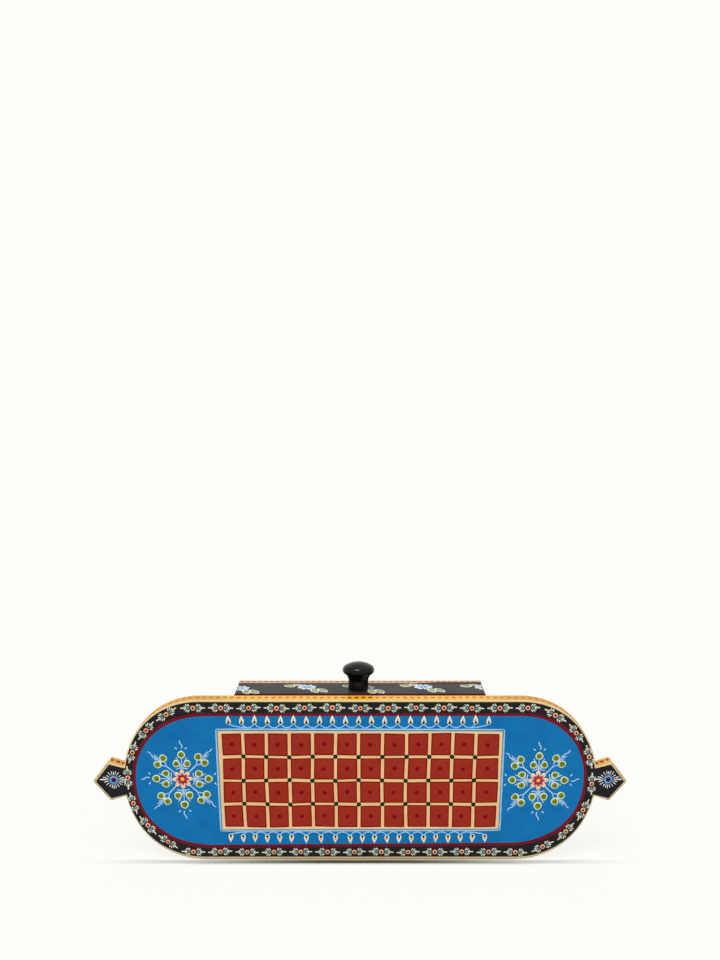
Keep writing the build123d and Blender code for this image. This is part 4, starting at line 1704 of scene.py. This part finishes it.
@dataclass
class Drawer:
    """The drawer: black front with five sprays, raw box, turned knob."""

    spray_places: tuple[tuple[float, float], ...] = (
        (-94.6, 4.5), (-42.0, 8.5), (4.0, 6.5), (50.2, 9.3), (98.2, 8.0)
    )
    raw_underside: float = 0.6
    paint_margin: float = 0.9
    stripe_width: float = 4.5
    stripe_wander: float = 0.25
    stripe_relief: float = 0.05

    def __post_init__(self) -> None:
        """Finds the top of the drawer's front."""
        self.ground = Plane((0.0, 0.0, float(front_high[2])), (1.0, 0.0, 0.0), (0.0, 1.0, 0.0))

    def dress_wood(self) -> None:
        """Finishes of the drawer's own pieces."""
        painted_from = float(front_low[2]) + self.raw_underside
        front = HalfPainted("front_paint", 2, painted_from, (40, 40, 42), (32, 32, 34))
        dress(["drawer_front"], front.build())
        box = Timber("drawer_wood", (218, 184, 134), (182, 142, 94))
        dress(["drawer_left_side", "drawer_right_side", "drawer_back", "drawer_bottom"], box.build())
        knob = Lacquer("knob_lacquer", (11, 11, 14), (46, 44, 46), 0.15,
                       Surface(0.17, gloss=0.18, spread=0.06, relief=0.008))
        dress(["knob"], knob.build())

    def stroke(self, name: str, strokes: Array, brush: Brush, pigment: Pigment, level: float,
               relief: float) -> None:
        """Makes one batch of brush strokes, which stop short of the front's two ends.

        Args:
            name: Name of the piece.
            strokes: Its strokes.
            brush: Their outline.
            pigment: Their paint.
            level: Height of the paint below.
            relief: Height above that.
        """
        reach = float(front_high[0]) - self.paint_margin
        inside = np.abs(strokes[:, [0, 4]]).min(1) < reach
        shell = painted(self.ground, strokes[inside], brush, level, relief, reach=reach)
        make_piece(name, shell, pigment.material(), "drawer")

    def paint_stripe(self) -> None:
        """A dull maroon stripe along the edge that meets the board."""
        reach = float(front_high[0]) - self.paint_margin
        x = np.linspace(-reach, reach, STRIPE_STEPS)
        inner = float(front_low[1]) + self.stripe_width + waver(x, 6.0, self.stripe_wander)
        outer = np.full(len(x), float(front_low[1]) + self.paint_margin)
        inner, outer = (np.stack([x, y], -1) for y in (inner, outer))
        shell = coat(self.ground, inner, outer, COAT_FOOT, self.stripe_relief)
        make_piece("front_stripe", shell, Pigment.STRIPE.material(), "drawer")

    def paint_sprays(self) -> None:
        """Each spray is a frost-coloured flower between leaves behind its left and before its right."""
        centres = np.array(self.spray_places)
        turns = by_hand(np.arange(len(centres)), 0.06, 2.2)
        eighths = np.arange(8) * math.pi / 4 + 0.3
        petals = fan([dab(7.8, 0, 1.6, 0, 3.9)], (0.0, 0.0), eighths)
        hearts = fan([dab(1.0, 0, 5.0, 0, 1.6)], (0.0, 0.0), eighths)
        leaves = [dab(4.2, -5.6, 7.8, -18.0, 6.4), dab(8.8, -4.6, 15.4, -17.0, 7.0)]
        leaves += [dab(-9.0, 3.4, -18.4, 6.6, 9.0), dab(-4.4, 5.0, -10.4, 10.4, 6.6)]
        cores = [dab(5.0, -7.6, 7.2, -16.0, 3.8), dab(10.2, -6.6, 14.4, -15.0, 4.3)]
        cores += [dab(-10.6, 4.1, -17.0, 6.1, 6.0), dab(-5.6, 6.0, -9.4, 9.4, 4.0)]
        veins = [dab(5.4, -9.0, 6.8, -14.6, 1.0), dab(11.0, -8.0, 13.6, -13.4, 1.0)]
        veins += [dab(-11.6, 4.4, -16.0, 5.8, 1.3), dab(-6.6, 6.9, -8.6, 8.6, 1.0)]
        for name, strokes, brush, pigment, level, relief in (
            ("spray_leaf_edges", leaves, Brush.BUD, Pigment.SPRAY_LEAF_EDGE, 0.0, 0.15),
            ("spray_leaves", cores, Brush.BUD, Pigment.SPRAY_LEAF, 0.13, 0.07),
            ("spray_veins", veins, Brush.LEAF, Pigment.SPRAY_VEIN, 0.19, 0.04),
            ("spray_petals", petals, Brush.DROP, Pigment.SPRAY_PETAL, 0.05, 0.16),
            ("spray_hearts", hearts, Brush.LEAF, Pigment.SPRAY_HEART, 0.19, 0.06),
            ("spray_eyes", [dab(-1.2, 0, 1.2, 0, 2.3)], Brush.ROUND, Pigment.FLAME, 0.22, 0.08),
        ):
            self.stroke(name, placed(strokes, centres, turns), brush, pigment, level, relief)

    def build(self) -> None:
        """Dresses the wood and paints the sprays."""
        self.dress_wood()
        self.paint_stripe()
        self.paint_sprays()


@dataclass
class Contents:
    """Playing pieces and throwing sticks that lie in the drawer."""

    ring_heights: tuple[float, float] = (5.0, 12.5)
    ring_thickness: float = 0.6
    foot_height: float = 2.4
    nose_height: float = 17.0
    nose_radius: float = 3.0

    def dress_pieces(self, colour: str, lacquer: Lacquer, ring: Pigment) -> None:
        """Lacquers one side's pieces and gives each two raised rings.

        The cone's radius falls evenly from the foot to the nose.

        Args:
            colour: Which side.
            lacquer: Its finish.
            ring: Paint of the rings.
        """
        names = nodes_named(colour + "_piece_")
        dress(names, lacquer.build())
        boxes = np.array([[tuple(corner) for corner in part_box(name)] for name in names]) / METRES
        middle = boxes.mean(1)
        foot = (boxes[:, 1, 0] - boxes[:, 0, 0]) / 2
        shells = []
        for height in self.ring_heights:
            share = (height - self.foot_height) / (self.nose_height - self.foot_height)
            radii = foot + (self.nose_radius - foot) * share
            centres = np.stack([middle[:, 0], middle[:, 1], boxes[:, 0, 2] + height], -1)
            shells.append(hoops(centres, radii, self.ring_thickness))
        make_piece(colour + "_piece_rings", joined(shells), ring.material(), "drawer")

    def mark_sticks(self) -> None:
        """Burnt spots and end lines on the round side of each stick."""
        names = nodes_named("throwing_stick_")
        waxed = Surface(0.4, gloss=0.35)
        dress(names, Timber("stick_wood", (226, 190, 132), (198, 152, 96), 1.8, waxed).build())
        marks = [dab(x - 1.3, 0, x + 1.3, 0, 2.5) for x in (-16.0, 0.0, 16.0)]
        lines = [dab(x, -4.5, x, 4.5, 1.0) for x in (-34.0, -31.0, 31.0, 34.0)]
        shells = []
        for name in names:
            low, high = (np.array(corner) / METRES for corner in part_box(name))
            middle = (float(low[0] + high[0]) / 2, float(low[1] + high[1]) / 2, float(low[2]))
            ground = HalfRound(middle, float(high[2] - low[2]))
            shells.append(painted(ground, marks, Brush.ROUND, 0.0, 0.1))
            shells.append(painted(ground, lines, Brush.LINE, 0.0, 0.1))
        make_piece("stick_marks", joined(shells), Pigment.INK.material(), "drawer")

    def build(self) -> None:
        """Dresses both sides' pieces and the sticks."""
        shine = Surface(0.2, gloss=0.5, coat=0.3, relief=0.015)
        yellow = Lacquer("yellow_lacquer", (232, 176, 44), (248, 226, 160), 0.4, shine)
        green = Lacquer("green_lacquer", (36, 104, 58), (140, 170, 130), 0.4, shine)
        self.dress_pieces("yellow", yellow, Pigment.MAROON)
        self.dress_pieces("green", green, Pigment.CREAM)
        self.mark_sticks()


@dataclass
class Studio:
    """Pale floor, soft light and the camera at the photograph's angle."""

    # The backdrop's colour, the sky's light, and what the floor gives back to things and to the eye.
    backdrop: Rgb = (254, 253, 248)
    sky: float = 0.62
    sky_lean: float = 0.24
    bounce: float = 0.36
    floor_albedo: float = 0.09

    # The painted contact shadow under the object and a faint painted reflection of the cream rim at its
    # foot:
    # the shadow's colour, the reflection's colour, then their places in millimetres; the floor's reach is in
    # metres.
    foot: Rgb = (68, 66, 66)
    mirrored: Rgb = (196, 178, 136)
    floor_reach: float = 4.0
    floor_cells: int = 8
    contact_end: float = 146.0
    contact_end_run: float = 50.0
    contact_reach: float = 14.0
    contact_near: float = 20.0
    contact_far: float = 228.0
    contact_place: float = -36.2
    contact_core: float = 1.2
    contact_width: float = 4.4
    contact_open: tuple[float, float] = (0.79, 0.94)
    painted_reflection_open: tuple[float, float] = (0.5, 0.65)
    painted_reflection_back: tuple[float, float] = (-31.0, -28.0)

    # The lamp and the camera: angles in degrees, the camera's place in millimetres.
    key_strength: float = 2.1
    key_height: float = 61.0
    key_side: float = -16.0
    key_spread: float = 27.0
    camera_place: tuple[float, float, float] = (0.0, -849.9, 348.9)
    camera_dip: float = 18.5
    focal_pixels: float = 1113.9
    frame_pixels: tuple[int, int] = (720, 960)
    level_pixel: float = 770.0
    sensor: float = 36.0

    def seen_directly(self, graph: Graph) -> Socket:
        """1 for rays of the camera, reflections and glass, 0 for the light on things.

        Args:
            graph: Where the answer is needed.

        Returns:
            The answer.
        """
        path = graph.add("ShaderNodeLightPath", {}).outputs
        seen = graph.math("MAXIMUM", path["Is Camera Ray"], path["Is Glossy Ray"])
        return graph.math("MAXIMUM", seen, path["Is Transmission Ray"])

    def build_sky(self) -> None:
        """A soft sky: white where it is seen, dimmer where it lights, and brighter from the front."""
        world = bpy.data.worlds.new("studio_sky")
        world.use_nodes = True
        bpy.context.scene.world = world
        graph = Graph(world.node_tree)
        graph.tree.nodes.clear()
        way = graph.add("ShaderNodeTexCoord", {}).outputs["Generated"]
        back = graph.add("ShaderNodeSeparateXYZ", {0: way}).outputs[1]
        strength = graph.math("SUBTRACT", self.sky, graph.math("MULTIPLY", back, self.sky_lean))
        lit = graph.add("ShaderNodeBackground", {"Color": (1, 1, 1, 1), "Strength": strength})
        seen = graph.add("ShaderNodeBackground", {"Color": linear(self.backdrop), "Strength": 1.0})
        either = {0: self.seen_directly(graph), 1: lit.outputs[0], 2: seen.outputs[0]}
        graph.add("ShaderNodeOutputWorld", {"Surface": graph.add("ShaderNodeMixShader", either).outputs[0]})

    def build_floor(self) -> None:
        """A wide floor in square cells: corner number = row * (cells + 1) + column."""
        cells = self.floor_cells
        steps = np.linspace(-self.floor_reach, self.floor_reach, cells + 1)
        x, y = np.meshgrid(steps, steps)
        points = np.stack([x, y, 0 * x], -1).reshape(-1, 3)
        mesh = bpy.data.meshes.new("floor")
        corner = (np.arange(cells)[:, None] * (cells + 1) + np.arange(cells)).ravel()
        faces = np.stack([corner, corner + 1, corner + cells + 2, corner + cells + 1], -1)
        mesh.from_pydata(points.tolist(), [], faces.tolist())
        floor = bpy.data.objects.new("floor", mesh)
        bpy.context.scene.collection.objects.link(floor)
        mesh.materials.append(self.floor_paper())

    def contact(self, graph: Graph) -> tuple[Socket, Socket]:
        """The painted contact shadow: a dark line where something stands within a few millimetres of the
        floor.

        It runs on under the raised ends, fainter and fainter: dark = largest of nearness and line,
        times a soft fall with the distance from the middle. In front, a faint painted reflection of
        the cream rim lies at the object's foot.

        Args:
            graph: The floor's node tree.

        Returns:
            How free the floor is of the painted shadow, from 0 on the line to 1 beside it, and the colour
            of the painted shadow and painted reflection.
        """
        # Painted shade: ambient occlusion within the reach darkens the floor near the object, joined by a
        # painted shadow line at a fixed place in front.
        inputs = {"Distance": self.contact_reach * METRES}
        near = graph.add("ShaderNodeAmbientOcclusion", inputs, samples=16).outputs["AO"]
        line = graph.math("ABSOLUTE", graph.math("SUBTRACT", graph.axis(1), self.contact_place * METRES))
        line = graph.step(line, self.contact_core * METRES, self.contact_width * METRES)
        away = graph.math("ABSOLUTE", graph.axis(0))
        end = self.contact_end * METRES
        ends = graph.step(away, end - self.contact_end_run * METRES, end)
        fade = graph.step(away, self.contact_near * METRES, self.contact_far * METRES)
        apart = graph.math("MAXIMUM", graph.step(near, *self.contact_open), ends)
        free = graph.math("MAXIMUM", graph.math("MINIMUM", apart, line), fade)
        # Painted reflection of the cream rim, on the floor just in front of the object's foot.
        behind = graph.step(graph.axis(1), *(place * METRES for place in self.painted_reflection_back))
        plain = graph.math("MAXIMUM", graph.step(near, *self.painted_reflection_open), behind)
        return free, graph.blend(plain, linear(self.mirrored), linear(self.foot))

    def floor_paper(self) -> bpy.types.Material:
        """Matt paper; what its own light lacks of the backdrop's colour is added for the eye, and the
        painted contact shadow and painted reflection are laid into both.

        Returns:
            The material.
        """
        material = bpy.data.materials.new("floor_paper")
        material.use_nodes = True
        graph = Graph(material.node_tree)
        graph.tree.nodes.clear()
        key = self.key_strength * math.sin(math.radians(self.key_height)) / math.pi
        own = self.floor_albedo * (self.sky + key)
        lack = tuple(max(channel - own, 0.0) for channel in linear(self.backdrop)[:3]) + (1.0,)
        free, foot = self.contact(graph)
        seen = self.seen_directly(graph)
        albedo = graph.blend(seen, (self.bounce,) * 3 + (1.0,), (self.floor_albedo,) * 3 + (1.0,))
        # Painted shadow: on the line the paper goes black and its glow takes the painted shadow's colour.
        shade = graph.blend(free, (0.0, 0.0, 0.0, 1.0), albedo)
        paper = graph.add("ShaderNodeBsdfDiffuse", {"Color": shade})
        inputs = {"Color": graph.blend(free, foot, lack), "Strength": seen}
        glow = graph.add("ShaderNodeEmission", inputs)
        both = graph.add("ShaderNodeAddShader", {0: paper.outputs[0], 1: glow.outputs[0]})
        graph.add("ShaderNodeOutputMaterial", {"Surface": both.outputs[0]})
        return material

    def build_key(self) -> None:
        """A broad soft light from the front, high on the left."""
        light = bpy.data.lights.new("key_light", "SUN")
        light.energy = self.key_strength
        light.angle = math.radians(self.key_spread)
        lamp = bpy.data.objects.new("key_light", light)
        lamp.rotation_euler = (math.radians(90 - self.key_height), 0.0, math.radians(self.key_side))
        bpy.context.scene.collection.objects.link(lamp)

    def build_camera(self) -> None:
        """The camera found from the board's outline; the upward shift is the photograph's framing."""
        data = bpy.data.cameras.new("photo_camera")
        data.lens = self.focal_pixels / self.frame_pixels[1] * self.sensor
        data.sensor_width = self.sensor
        data.shift_y = (self.level_pixel - self.frame_pixels[1] / 2) / self.frame_pixels[1]
        data.clip_end = 20.0
        camera = bpy.data.objects.new("photo_camera", data)
        camera.location = tuple(METRES * value for value in self.camera_place)
        camera.rotation_euler = (math.radians(90 - self.camera_dip), 0.0, 0.0)
        bpy.context.scene.collection.objects.link(camera)
        bpy.context.scene.camera = camera

    def build(self) -> None:
        """Sets the view transform and builds sky, floor, light and camera."""
        bpy.context.scene.view_settings.view_transform = "Standard"
        self.build_sky()
        self.build_floor()
        self.build_key()
        self.build_camera()


def main() -> None:
    """Builds the studio, then each sub-assembly in order."""
    logging.basicConfig(level=logging.INFO)
    for part in (Studio(), BoardFace(), Case(), Drawer(), Contents()):
        log.info("building %s", type(part).__name__)
        part.build()


if __name__ == "__main__":
    main()
